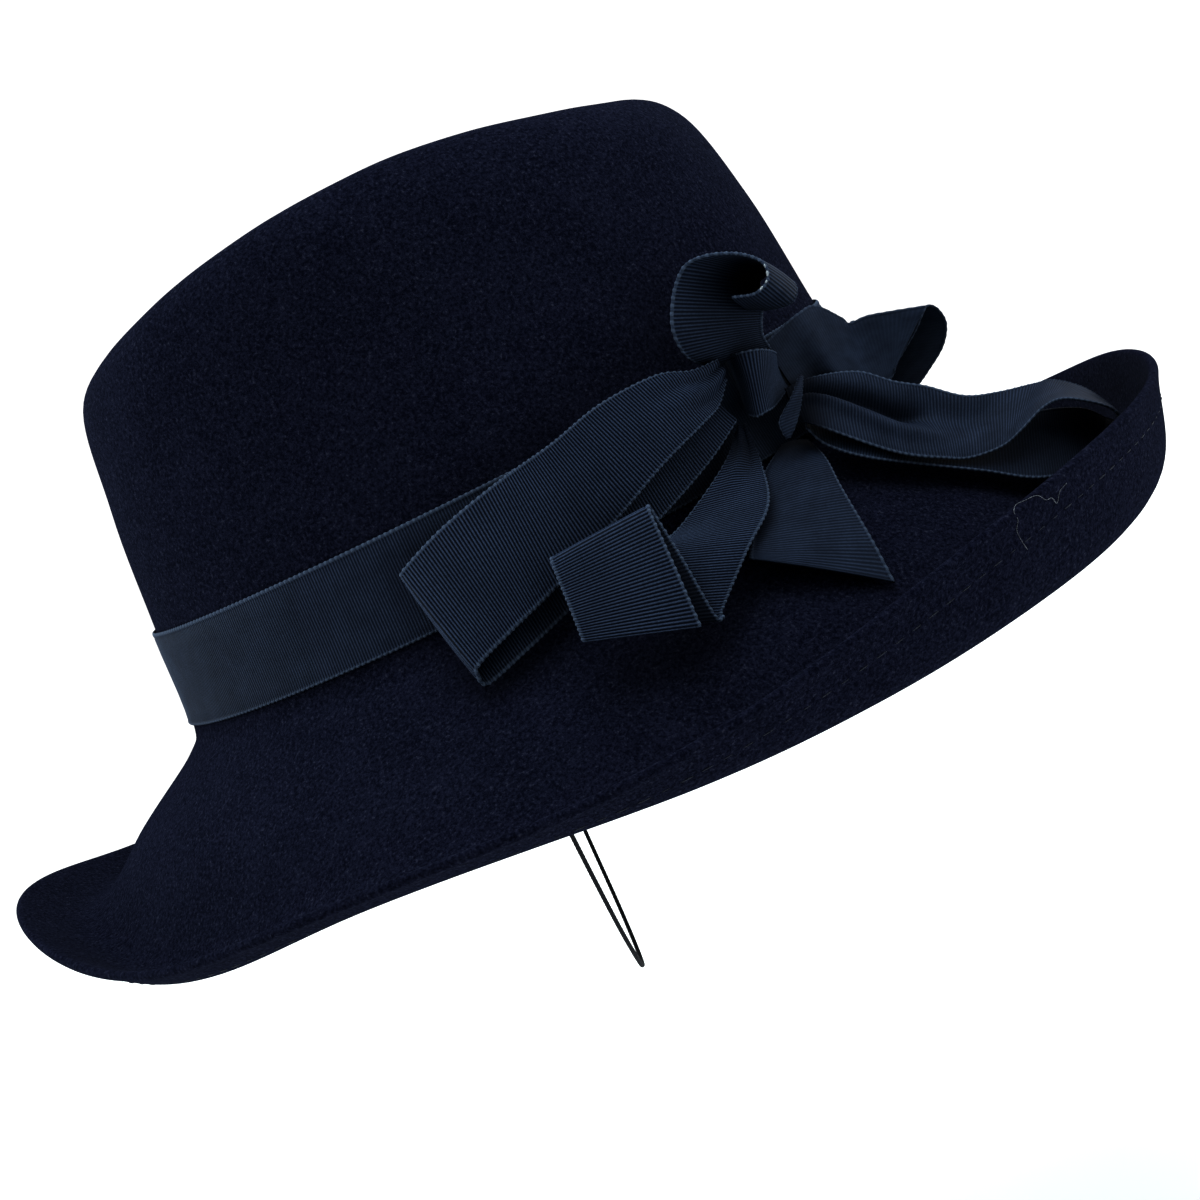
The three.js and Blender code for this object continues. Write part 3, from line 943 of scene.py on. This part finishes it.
@dataclass
class RibbonBand:
    """Ribbon lying round the foot of the crown. Lengths are in millimetres."""

    felt: FeltBody
    maker: RibbonMaker
    width: float = RIBBON_WIDTH
    gap: float = 0.4
    lift: float = 0.6
    slack: float = 0.25

    def build(self) -> bpy.types.Object:
        """Makes the band.

        Returns:
            The band piece.
        """
        upper, top, base = (ring.heights[0] for ring in RINGS[BAND_TOP - 1 : BAND_TOP + 2])
        below, above = top - base, upper - top
        low = BAND_TOP + 0.999 - self.lift / below
        high = BAND_TOP - (self.width + self.lift - below) / above
        u = low + (high - low) * ROWS_BAND
        ribbon = self.maker.ribbon
        fine = np.linspace(0, TURN, 4001)
        length = distances(self.felt.surface(np.array([BAND_MIDDLE]), fine, rippled=False)[0])
        teeth = round(length[-1] / ribbon.tooth_pitch)
        columns = teeth * round(ribbon.tooth_pitch / ribbon.rib_pitch) * ribbon.steps_per_rib
        th = np.interp(np.arange(columns) / columns * length[-1], length, fine)
        along = np.arange(columns) * ribbon.rib_pitch / ribbon.steps_per_rib
        face = self.felt.surface(u, th, -(self.gap + ribbon.thickness / 2), rippled=False)
        normal = self.felt.normal(u, th)
        slack = self.slack * np.sin(5 * th + 0.4) * np.sin(11 * th)
        face = (face + normal * (np.abs(ROWS_BAND - 0.5)[:, None] * slack[None])[:, :, None])[:, ::-1]
        lie = Lie(pressed=0.45)
        band = self.maker.weave("ribbon_band_woven", face, normal[:, ::-1], ROWS_BAND, along, True, 5, lie)
        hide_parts("ribbon_band")
        return band


class Lay(Enum):
    """How a bow ribbon lies across its width."""

    CUPPED = "cupped"
    GATHERED = "gathered"


@dataclass(frozen=True)
class Fold:
    """A ridge or valley along a gathered ribbon: height in millimetres, place and width as shares across it.

    It holds from start to end, in millimetres along the ribbon, and fades out over fade. Over the first
    run millimetres its place slides by drift.
    """

    height: float
    place: float
    width: float
    start: float
    end: float
    fade: float = 12.0
    drift: float = 0.0
    run: float = 24.0

    def rise(self, across: np.ndarray, along: np.ndarray) -> np.ndarray:
        """Height of the fold.

        Args:
            across: Places across, 0 to 1.
            along: Distances along in millimetres.

        Returns:
            Height by place across and place along.
        """
        place = self.place + self.drift * smooth_step(along / self.run)
        shape = np.exp(-(((across[:, None] - place[None]) / self.width) ** 2))
        begun = smooth_step((along - self.start) / self.fade + 1)
        ended = smooth_step((self.end - along) / self.fade + 1)
        return self.height * shape * (begun * ended)[None]


@dataclass(frozen=True)
class Strip:
    """A bow ribbon. Each station gives its two selvedges in millimetres, three coordinates each.

    The three fields after pressed paint shade on it: how many millimetres of it lie deep in the tie; the first
    and last station under another layer, with how dark the shade painted there is; and how far its far end
    takes none.
    """

    name: str
    replaces: str
    stations: tuple[tuple[float, ...], ...]
    lay: Lay = Lay.CUPPED
    cup: float = 0.0
    folds: tuple[Fold, ...] = ()
    pressed: float = 0.0
    sunk_shade: float = 0.0
    covered_shade: tuple[float, float, float] = (0.0, 0.0, 0.0)
    aired: float = 0.0
    seed: int = 1

    def selvedges(self) -> tuple[np.ndarray, np.ndarray]:
        """The two selvedges, a point a station."""
        rows = np.array(self.stations, float)
        return rows[:, :3], rows[:, 3:]


STRIPS = (
    Strip(
        "knot", "bow_knot", cup=0.5, pressed=0.2, seed=11,
        stations=(
            (63.4, -65, 26.1, 61.8, -70, 12.8),
            (63.9, -71.5, 26.9, 61.6, -74.8, 12.3),
            (65.9, -77, 26.9, 62.4, -79, 11.4),
            (69.7, -77, 25.8, 65, -79, 11.5),
            (73, -72, 24, 67.6, -76, 11.5),
            (75.4, -64, 22, 71.9, -70, 12.7),
            (77, -57.4, 21.4, 74.8, -64, 13.1),
        ),
    ),
    Strip(
        "tuck", "bow_tuck", cup=0.3, pressed=0.7, seed=12,
        stations=(
            (76.9, -71, 15, 77.6, -70.6, 14.6),
            (74.2, -75, 13.2, 75.9, -74, 12.6),
            (71.5, -77.8, 11.6, 74.4, -76.2, 10.7),
            (66.7, -80, 8.5, 72, -77.8, 7.7),
            (66, -80.6, 5.7, 69.6, -79.4, 5.5),
            (66.3, -80.8, 3.7, 66.9, -80.6, 3.7),
        ),
    ),
    Strip(
        "tail_curled", "bow_tail_curled", cup=0.4, pressed=0.35, seed=13,
        stations=(
            (57.3, -73, 27.2, 73.8, -70, 23.9),
            (53.3, -79, 32.1, 73.7, -69, 27.4),
            (52.6, -84, 39.1, 74.8, -69, 30.6),
            (55.8, -85, 45.8, 77, -69, 34.6),
            (59.6, -86, 50.1, 78.5, -68, 39),
            (63.1, -87, 51.6, 80, -67, 39.8),
            (68.5, -88, 50.7, 83, -66, 40),
            (74.4, -88, 47.8, 84.6, -66, 38),
            (78, -88, 43.8, 86.4, -66.5, 34.6),
            (77.4, -87.5, 39.9, 84.1, -67, 31.7),
            (73.5, -87, 38.3, 79.8, -67.5, 32),
            (68.4, -86, 39.8, 73.8, -68.5, 34.1),
        ),
    ),
    Strip(
        "loop_back", "bow_loop_back", lay=Lay.GATHERED, cup=0.4, seed=14,
        folds=(Fold(-0.7, 0.3, 0.12, 0, 14), Fold(0.5, 0.55, 0.14, 0, 20), Fold(-0.5, 0.8, 0.09, 0, 10)),
        stations=(
            (60, -75.4, 27.6, 59.8, -76.2, 22.5),
            (52.5, -81, 28.5, 54.9, -81, 18.1),
            (44, -86, 31.5, 48.9, -87, 16.3),
            (29, -91, 31.5, 35.8, -93, 12.4),
            (15, -92.5, 28.5, 20, -97, 6),
            (0, -93, 26.2, 1, -101, -1),
            (-16, -92.5, 22.5, -12, -102.5, -5),
            (-28, -91, 18, -22, -103, -8.5),
            (-29.5, -89.5, 16.5, -23.6, -102.4, -11),
            (-28, -88, 15.4, -22.4, -101.2, -13.8),
            (-16, -88.5, 18, -12, -100.4, -11.2),
            (0, -89.4, 20.5, 2, -97.6, -7.2),
            (15, -89, 21.5, 16, -94.4, -2.4),
            (29, -86.4, 22.5, 31, -90, 1.6),
            (44, -79.6, 23, 47, -83.6, 7.4),
            (55, -74.4, 21, 58, -76.4, 12.6),
        ),
    ),
    Strip(
        "tail_folded", "bow_tail_folded", lay=Lay.GATHERED, cup=0.2, sunk_shade=12,
        covered_shade=(5.2, 8.6, 1.0), seed=15,
        folds=(Fold(0.7, 0.4, 0.15, 0, 12), Fold(-0.6, 0.75, 0.1, 0, 10)),
        stations=(
            (57.4, -75, 10.3, 59.4, -76, 11),
            (49, -85, 5, 57.8, -83.5, 1.4),
            (33, -95, -2, 54, -95, -6.5),
            (22, -104.5, -4, 44, -104.5, -12.5),
            (10, -111, -12, 32.5, -111.5, -21),
            (8.6, -113, -13.6, 31.8, -113, -22.4),
            (7, -114.4, -12.2, 30.2, -114.6, -20.6),
            (5, -111.4, -3, 29.4, -111.4, -6),
            (3.5, -107.6, 4.6, 28.4, -107, 5.4),
            (3, -109, 6.2, 28, -108.4, 6.8),
            (2.6, -111.2, 5, 27.6, -110.6, 5.2),
            (1.8, -115, -4.6, 26.8, -115.2, -8.6),
            (1, -117.6, -12.4, 26, -118.4, -21.2),
        ),
    ),
    Strip(
        "tail_pointed", "bow_tail_pointed", cup=0.6, pressed=0.6, sunk_shade=4, seed=16,
        stations=(
            (66.2, -68, 1.4, 72.8, -66, -0.6),
            (57.2, -82, -1.5, 73.2, -77.5, -5),
            (51.5, -91, -7, 72.2, -87, -12),
            (45, -101, -13, 71.8, -97.5, -24.5),
            (43.6, -103.4, -14.6, 71.2, -104.5, -34.6),
        ),
    ),
    Strip(
        "loop_front_low", "bow_loop_front_low", lay=Lay.GATHERED, cup=-0.3, pressed=0.6, sunk_shade=7,
        covered_shade=(11.6, 16.6, 0.5), aired=0.9, seed=17,
        folds=(
            Fold(4.6, 0.22, 0.11, 8, 26, 12, 0.16),
            Fold(-1.6, 0.4, 0.1, 2, 28, 12, 0.28),
            Fold(2.5, 0.36, 0.25, 32, 44, 14),
        ),
        stations=(
            (72.6, -69, 13.6, 72.6, -74.6, 4.8),
            (80.4, -66, 13, 75.6, -76.4, 2),
            (91.5, -62.5, 9.1, 85.3, -76.5, -8),
            (98.7, -63.3, 3.1, 91.6, -77.5, -13.5),
            (105.4, -64, -1.6, 99, -76.5, -18.1),
            (113, -64, -8, 105, -76, -21.1),
            (122, -62, -11.6, 113.3, -75.5, -22.2),
            (131, -59.5, -14, 119.4, -74.5, -20.9),
            (137, -55, -16, 127, -72.5, -18.6),
            (144, -50, -21.4, 132.7, -70, -19),
            (148.4, -46.5, -26.8, 138, -69, -22),
            (151, -44.5, -31.5, 144.5, -65, -27.5),
            (150.6, -45, -34.6, 146, -64, -32.2),
            (147.2, -48, -32, 142.7, -64, -35.2),
            (141.1, -52, -26, 133, -69, -37.3),
            (128.2, -59, -20.5, 118.4, -77, -33.1),
            (113.3, -62, -18.6, 106.5, -76.5, -25.2),
            (102.3, -61, -10.9, 93.2, -76, -16.7),
            (91.7, -62, -0.3, 82, -76.6, -9.2),
            (80.3, -60.6, 4.7, 75.1, -75.2, -2.5),
            (76.2, -62.6, 6.4, 72.8, -73, 3.1),
        ),
    ),
    Strip(
        "loop_front_high", "bow_loop_front_high", cup=0.3, pressed=0.95, seed=18,
        stations=(
            (90, -49, 2.2, 99.9, -53.5, 0.7),
            (92.4, -48, 8.4, 101.1, -54.2, 4.1),
            (94, -47.2, 13.2, 105.6, -54.5, 7.1),
            (96.2, -46.2, 17.2, 111, -54, 10.6),
            (97.8, -44.8, 18.7, 114.7, -53, 13.5),
            (99.2, -43.2, 19.2, 117.3, -51.3, 14.7),
            (100.4, -41.6, 18.1, 119.7, -49, 12.5),
            (100.6, -40.5, 14.3, 120.5, -46.6, 8),
            (98.4, -41, 10, 117.4, -45.5, 3.1),
            (94.9, -43, 6, 111, -46, -0.9),
            (91.3, -44.6, 3, 106.8, -48, -2.7),
        ),
    ),
    Strip(
        "pleat_front", "bow_pleat_front", cup=0.4, pressed=0.92, seed=19,
        stations=(
            (73.5, -67, 25.6, 75, -65.6, 13),
            (78.9, -64, 27.1, 81.8, -61.6, 10.3),
            (85.1, -60, 28.2, 87.1, -62.8, 8.8),
            (90.6, -54.6, 27.8, 90.5, -61.4, 7.1),
            (95.8, -51.8, 22, 93.2, -60.7, 5.2),
            (97.1, -51.5, 19.8, 95.6, -59.5, 3.8),
            (101.6, -52, 19.5, 97.7, -58.7, 3),
            (106.8, -53.5, 18.1, 99.6, -58.3, 3.1),
            (112, -54.5, 16.5, 100.7, -58, 4),
            (115.8, -55, 15.3, 101.1, -58, 4.9),
        ),
    ),
)


@dataclass
class Bow:
    """The tied bow: knot, loops and tails cut from one kind of ribbon."""

    maker: RibbonMaker
    strips: tuple[Strip, ...] = STRIPS
    fade: float = 0.6
    aired_from: float = 0.62

    def lie(self, strip: Strip, u: np.ndarray, along: np.ndarray, length: float) -> Lie:
        """How a ribbon lies at each column.

        Args:
            strip: The ribbon.
            u: Station number of each column.
            along: Distance along of each column, in millimetres.
            length: The ribbon's whole length, in millimetres.

        Returns:
            Its lie.
        """
        start, end, depth = strip.covered_shade
        # painted shade deep in the tie, under another layer, and lifted towards the far end
        sunk_shade = smooth_step(1.5 - along / max(strip.sunk_shade, 0.01))
        covered_shade = depth * smooth_step((u - start) / self.fade) * smooth_step((end - u) / self.fade)
        aired = strip.aired * smooth_step((along / length - self.aired_from) / 0.1)
        return Lie(strip.pressed, sunk_shade, covered_shade, aired)

    def sweep(self, strip: Strip) -> tuple[bpy.types.Object, tuple[float, float]]:
        """Makes one ribbon of the bow.

        Args:
            strip: The ribbon's selvedges and lay.

        Returns:
            The ribbon piece, and its mean width and its length in metres.
        """
        ribbon = self.maker.ribbon
        a, b = strip.selvedges()
        last = len(a) - 1
        fine = np.linspace(0, last, 200 * len(a))
        run = distances(catmull_rom((a + b) / 2, fine))
        length = float(run[-1])
        columns = max(round(length / ribbon.rib_pitch), 4) * ribbon.steps_per_rib + 1
        along = np.arange(columns) * ribbon.rib_pitch / ribbon.steps_per_rib
        u = np.interp(np.linspace(0, length, columns), run, fine)
        pa, pb = catmull_rom(a, u), catmull_rom(b, u)
        ahead, behind = np.minimum(u + 0.1, last), np.maximum(u - 0.1, 0)
        normal = unit(np.cross(catmull_rom(a + b, ahead) - catmull_rom(a + b, behind), pb - pa))
        across = ROWS_FOLDED if strip.lay is Lay.GATHERED else ROWS_PLAIN
        height = np.repeat((strip.cup * 4 * across * (1 - across))[:, None], columns, 1)
        for fold in strip.folds:
            height = height + fold.rise(across, along)
        share = across[:, None, None]
        face = pa[None] * (1 - share) + pb[None] * share + normal[None] * height[:, :, None]
        true_normal = unit(np.cross(np.gradient(face, axis=1), np.gradient(face, across, axis=0)))
        name, lie = strip.name + "_woven", self.lie(strip, u, along, length)
        piece = self.maker.weave(name, face, true_normal, across, along, False, strip.seed, lie)
        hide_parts(strip.replaces)
        width = float(np.linalg.norm(pb - pa, axis=1).mean())
        return piece, (width * MM, length * MM)

    def build(self) -> list[bpy.types.Object]:
        """Makes every ribbon of the bow.

        Returns:
            The ribbon pieces.
        """
        made = {strip.name: self.sweep(strip) for strip in self.strips}
        return [piece for piece, _ in made.values()]


# ---------------------------------------------------------------- stitches, elastic and lint
def poly_curve(name: str, points: np.ndarray, closed: bool = False) -> bpy.types.Object:
    """A curve object through points, in metres.

    Args:
        name: Name of the curve.
        points: Its points.
        closed: Whether it is a closed ring.

    Returns:
        The curve object.
    """
    data = bpy.data.curves.new(name, "CURVE")
    data.dimensions = "3D"
    spline = data.splines.new("POLY")
    spline.points.add(len(points) - 1)
    spline.points.foreach_set("co", np.concatenate([points, np.ones((len(points), 1))], 1).ravel())
    spline.use_cyclic_u = closed
    return in_scene(name, data)


@dataclass(frozen=True)
class Stitch:
    """How short pieces of thread follow one another along a line, in millimetres."""

    pitch: float
    length: float
    radius: float
    unevenness: float = 0.3
    seed: int = 3

    def sew(self, name: str, line: np.ndarray, finish: ThreadFinish, closed: bool = False) -> bpy.types.Object:
        """Sews along a line.

        Args:
            name: Name of the piece.
            line: Its points, in metres.
            finish: Finish of the thread.
            closed: Whether the line is a closed ring.

        Returns:
            The stitches as one piece.
        """
        sewn = running_stitch_tree().bake(
            poly_curve(name, line, closed),
            finish.make(),
            Pitch=self.pitch * MM,
            Stitch_Length=self.length * MM,
            Thread_Radius=self.radius * MM,
            Unevenness=self.unevenness,
            Seed=self.seed,
        )
        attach(sewn, BODY)
        return sewn


@dataclass
class RimStitching:
    """Running stitch round the outside of the turned-up rim. Lengths are in millimetres."""

    felt: FeltBody
    finish: ThreadFinish
    below_edge: float = 7.3
    stitch: Stitch = Stitch(pitch=5.0, length=2.6, radius=0.13)
    sunk_in: float = 0.35
    steps: int = 720
    rows: int = 60

    def line(self) -> np.ndarray:
        """The line of the stitches, an even distance below the edge and pressed a little into the felt.

        Returns:
            Its points, in metres.
        """
        th = np.arange(self.steps) * TURN / self.steps
        u = np.linspace(len(RINGS) - 2, len(RINGS) - 1, self.rows)
        sheet = self.felt.surface(u, th, self.felt.wall)
        below = np.linalg.norm(np.diff(sheet, axis=0), axis=2)[::-1].cumsum(0)
        last = self.rows - 1
        counts = np.arange(1, self.rows)
        row = last - np.array([np.interp(self.below_edge, below[:, j], counts) for j in range(self.steps)])
        low = np.floor(row).astype(int)
        share = (row - low)[:, None]
        column = np.arange(self.steps)
        points = sheet[low, column] * (1 - share) + sheet[np.minimum(low + 1, last), column] * share
        normal = self.felt.normal(u, th)[low, column]
        return (points - normal * self.stitch.radius * self.sunk_in) * MM

    def build(self) -> bpy.types.Object:
        """Makes the stitches as one piece."""
        return self.stitch.sew("rim_stitches", self.line(), self.finish, closed=True)


@dataclass
class LooseThreads:
    """The curled tail's frayed edge and one stray thread on the brim. Lengths in millimetres."""

    frayed: ThreadFinish
    lint: ThreadFinish
    curl: Strip
    frayed_from: float = 8.2
    frayed_to: float = 9.6
    ends: Stitch = Stitch(pitch=1.9, length=1.0, radius=0.22, unevenness=0.5, seed=5)
    fibre: Stitch = Stitch(pitch=0.5, length=0.9, radius=0.07, unevenness=0.3, seed=6)
    stray: tuple[Point, ...] = (
        (113.3, -117.1, -29.7),
        (111.2, -118.2, -30.3),
        (109.4, -118.3, -32.4),
        (108.5, -119.8, -30.6),
        (106.8, -121.1, -30.1),
        (105.5, -122.8, -28.4),
        (104.2, -123.5, -27.7),
        (102, -124.3, -27.5),
        (99.5, -124.7, -27.4),
        (98, -126.6, -28.3),
        (98.2, -125.9, -30.4),
        (97.1, -125.3, -32.6),
        (97.6, -123.5, -36),
        (98.1, -122.4, -37.8),
    )

    def build(self) -> list[bpy.types.Object]:
        """Makes the frayed ends and the stray thread.

        Returns:
            The two pieces.
        """
        selvedge, _ = self.curl.selvedges()
        edge = catmull_rom(selvedge, np.linspace(self.frayed_from, self.frayed_to, 80)) * MM
        thread = catmull_rom(np.array(self.stray, float), np.linspace(0, len(self.stray) - 1, 90)) * MM
        return [
            self.ends.sew("frayed_edge", edge, self.frayed),
            self.fibre.sew("stray_thread", thread, self.lint),
        ]


@dataclass
class ChinElastic:
    """Round braided elastic, a loop from one side of the crown to the other. Lengths in millimetres."""

    finish: ThreadFinish
    diameter: float = 1.3
    relief: float = 0.06
    around: int = 16
    step: float = 0.3
    half: tuple[Point, ...] = (
        (-20.6, -80.4, 7),
        (-20.8, -79.8, 0),
        (-21.1, -78.8, -9),
        (-21.7, -75.5, -24),
        (-22.4, -70, -42),
        (-23.1, -62, -61),
        (-23.6, -52, -80),
        (-24, -40, -96.5),
        (-24.2, -27, -108.5),
        (-24.4, -13.5, -116.2),
    )
    lowest: Point = (-24.5, 0, -119)

    def route(self) -> np.ndarray:
        """Centreline in metres, close enough together to have its length.

        Returns:
            Points along the elastic.
        """
        far = [(x, -y, z) for x, y, z in reversed(self.half)]
        knots = np.array([*self.half, self.lowest, *far], float) * MM
        fine = catmull_rom(knots, np.linspace(0, len(knots) - 1, 2001))
        run = distances(fine)
        count = round(run[-1] / (self.step * MM))
        even = np.linspace(0, run[-1], count + 1)
        return np.stack([np.interp(even, run, fine[:, k]) for k in range(3)], -1)

    def build(self) -> bpy.types.Object:
        """Returns:
            The elastic piece.
        """
        line = self.route()
        tangent = unit(np.gradient(line, axis=0))
        side = unit(np.cross(tangent, [1.0, 0, 0]))
        other = np.cross(tangent, side)
        turn = np.arange(self.around) * TURN / self.around
        lift = side[:, None] * np.cos(turn)[None, :, None] + other[:, None] * np.sin(turn)[None, :, None]
        radius = (self.diameter / 2 - self.relief) * MM
        points = (line[:, None] + lift * radius).reshape(-1, 3)
        along = distances(line)
        faces = grid_faces(len(line), self.around, False, True)[:, ::-1].tolist()
        faces.append(list(range(self.around)))
        faces.append([len(points) - 1 - i for i in range(self.around)])
        uv = grid_uv(along, turn / TURN * self.diameter * MM)
        piece = new_mesh("chin_elastic_braid", points, faces, uv)
        add_attribute(piece, "along", np.repeat(along, self.around))
        add_attribute(piece, "around", np.tile(turn, len(line)))
        add_attribute(piece, "lift", lift.reshape(-1, 3))
        yarns = {"Yarn_Pitch": 1.6 * MM, "Yarn_Height": self.relief * MM, "Yarns": 4}
        braid_tree().bake(piece, self.finish.make(), **yarns)
        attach(piece, BODY)
        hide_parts("chin_elastic")
        return piece


# ---------------------------------------------------------------- studio
@dataclass(frozen=True)
class Lamp:
    """One soft square lamp: where it hangs and the side of its square in metres, and its watts."""

    name: str
    place: Point
    size: float
    power: float
    colour: tuple[float, float, float] = (0.86, 1.0, 1.0)

    def hang(self) -> None:
        """Hangs the lamp, aimed at the hat."""
        data = bpy.data.lights.new(self.name, "AREA")
        data.size = self.size
        data.energy = self.power
        data.color = self.colour
        turn = (-Vector(self.place)).to_track_quat("-Z", "Y").to_matrix().to_4x4()
        in_scene(self.name, data).matrix_world = Matrix.Translation(self.place) @ turn


LAMPS = (
    Lamp("left_lamp", (-1.5, 0.4, 0.6), 1.0, 18),
    Lamp("right_lamp", (1.6, -0.5, 0.3), 0.8, 6),
    Lamp("top_lamp", (0.1, -0.3, 1.55), 1.0, 22),
    Lamp("front_lamp", (0.5, -1.0, 0.1), 0.6, 1.6),
)


@dataclass
class Studio:
    """Pale floor, soft lamps and the camera. Lengths are in metres."""

    eye: Point = (0.0, -0.570, 0.055)
    look_at: Point = (0.0108, 0.0, -0.0215)
    roll_degrees: float = -26.6
    lens: float = 62.04
    floor_drop: float = 0.16
    floor_size: float = 30.0
    sky: float = 1.15
    gamma: float = 0.75
    flag_width: float = 2.6
    flag_height: float = 2.2
    flag_place: float = -1.2
    lamps: tuple[Lamp, ...] = LAMPS

    def place_camera(self) -> None:
        """Aims the camera and rolls it about its own axis."""
        data = bpy.data.cameras.new("camera")
        data.lens = self.lens
        data.sensor_width = 36
        data.clip_start = 0.01
        data.clip_end = 100
        aim = Vector(self.look_at) - Vector(self.eye)
        turn = aim.to_track_quat("-Z", "Y").to_matrix().to_4x4()
        roll = Matrix.Rotation(math.radians(self.roll_degrees), 4, "Z")
        camera = in_scene("camera", data)
        camera.matrix_world = Matrix.Translation(self.eye) @ turn @ roll
        bpy.context.scene.camera = camera

    def backdrop(
        self, name: str, corners: list[Point], colour: Colour, roughness: float, specular: float
    ) -> bpy.types.Object:
        """One plain flat sheet of the studio.

        Args:
            name: Name of the sheet.
            corners: Its four corners.
            colour: Its colour.
            roughness: Its roughness.
            specular: Its specular level.

        Returns:
            The sheet.
        """
        sheet = new_mesh(name, np.array(corners), [[0, 1, 2, 3]])
        material = bpy.data.materials.new(name + "_finish")
        material.use_nodes = True
        shader = material.node_tree.nodes["Principled BSDF"]
        shader.inputs["Base Color"].default_value = colour
        shader.inputs["Roughness"].default_value = roughness
        shader.inputs["Specular IOR Level"].default_value = specular
        sheet.data.materials.append(material)
        return sheet

    def lay_floor(self) -> None:
        """Lays a wide pale floor below the elastic."""
        half = self.floor_size / 2
        z = CAD_BOX[0][2] - self.floor_drop
        corners = [(-half, -half, z), (half, -half, z), (half, half, z), (-half, half, z)]
        self.backdrop("floor", corners, (0.97, 0.97, 0.97, 1), 0.9, 0.1)

    def hang_flag(self) -> None:
        """Hangs a dark cloth behind the camera, out of sight, to keep the near side deep in tone."""
        w, h, y = self.flag_width / 2, self.flag_height / 2, self.flag_place
        corners = [(-w, y, -h), (w, y, -h), (w, y, h), (-w, y, h)]
        self.backdrop("flag", corners, (0.01, 0.01, 0.01, 1), 0.5, 0.0).visible_camera = False

    def build(self) -> None:
        """Sets up camera, floor, sky and lamps."""
        self.place_camera()
        self.lay_floor()
        world = bpy.data.worlds.new("white_tent")
        world.use_nodes = True
        sky = world.node_tree.nodes["Background"]
        sky.inputs["Color"].default_value = (1, 1, 1, 1)
        sky.inputs["Strength"].default_value = self.sky
        scene = bpy.context.scene
        scene.world = world
        for lamp in self.lamps:
            lamp.hang()
        self.hang_flag()
        scene.view_settings.view_transform = "Standard"
        scene.view_settings.look = "None"
        scene.view_settings.gamma = self.gamma


# ---------------------------------------------------------------- assembly
def main() -> None:
    """Builds the hat piece by piece and sets up the studio."""
    logging.basicConfig(level=logging.INFO, format="%(message)s")
    Studio().build()
    elastic = ChinElastic(BRAID).build()
    felt = FeltBody(FELT)
    body = felt.build()
    maker = RibbonMaker(Grosgrain(RIBBON))
    band = RibbonBand(felt, maker).build()
    bow = Bow(maker).build()
    stitches = RimStitching(felt, SEWING).build()
    curl = next(strip for strip in STRIPS if strip.name == "tail_curled")
    threads = LooseThreads(FRAYED, LINT, curl).build()
    for piece in (elastic, body, band, *bow, stitches, *threads):
        log.info("%s: %d faces", piece.name, len(piece.data.polygons))


if __name__ == "__main__":
    main()
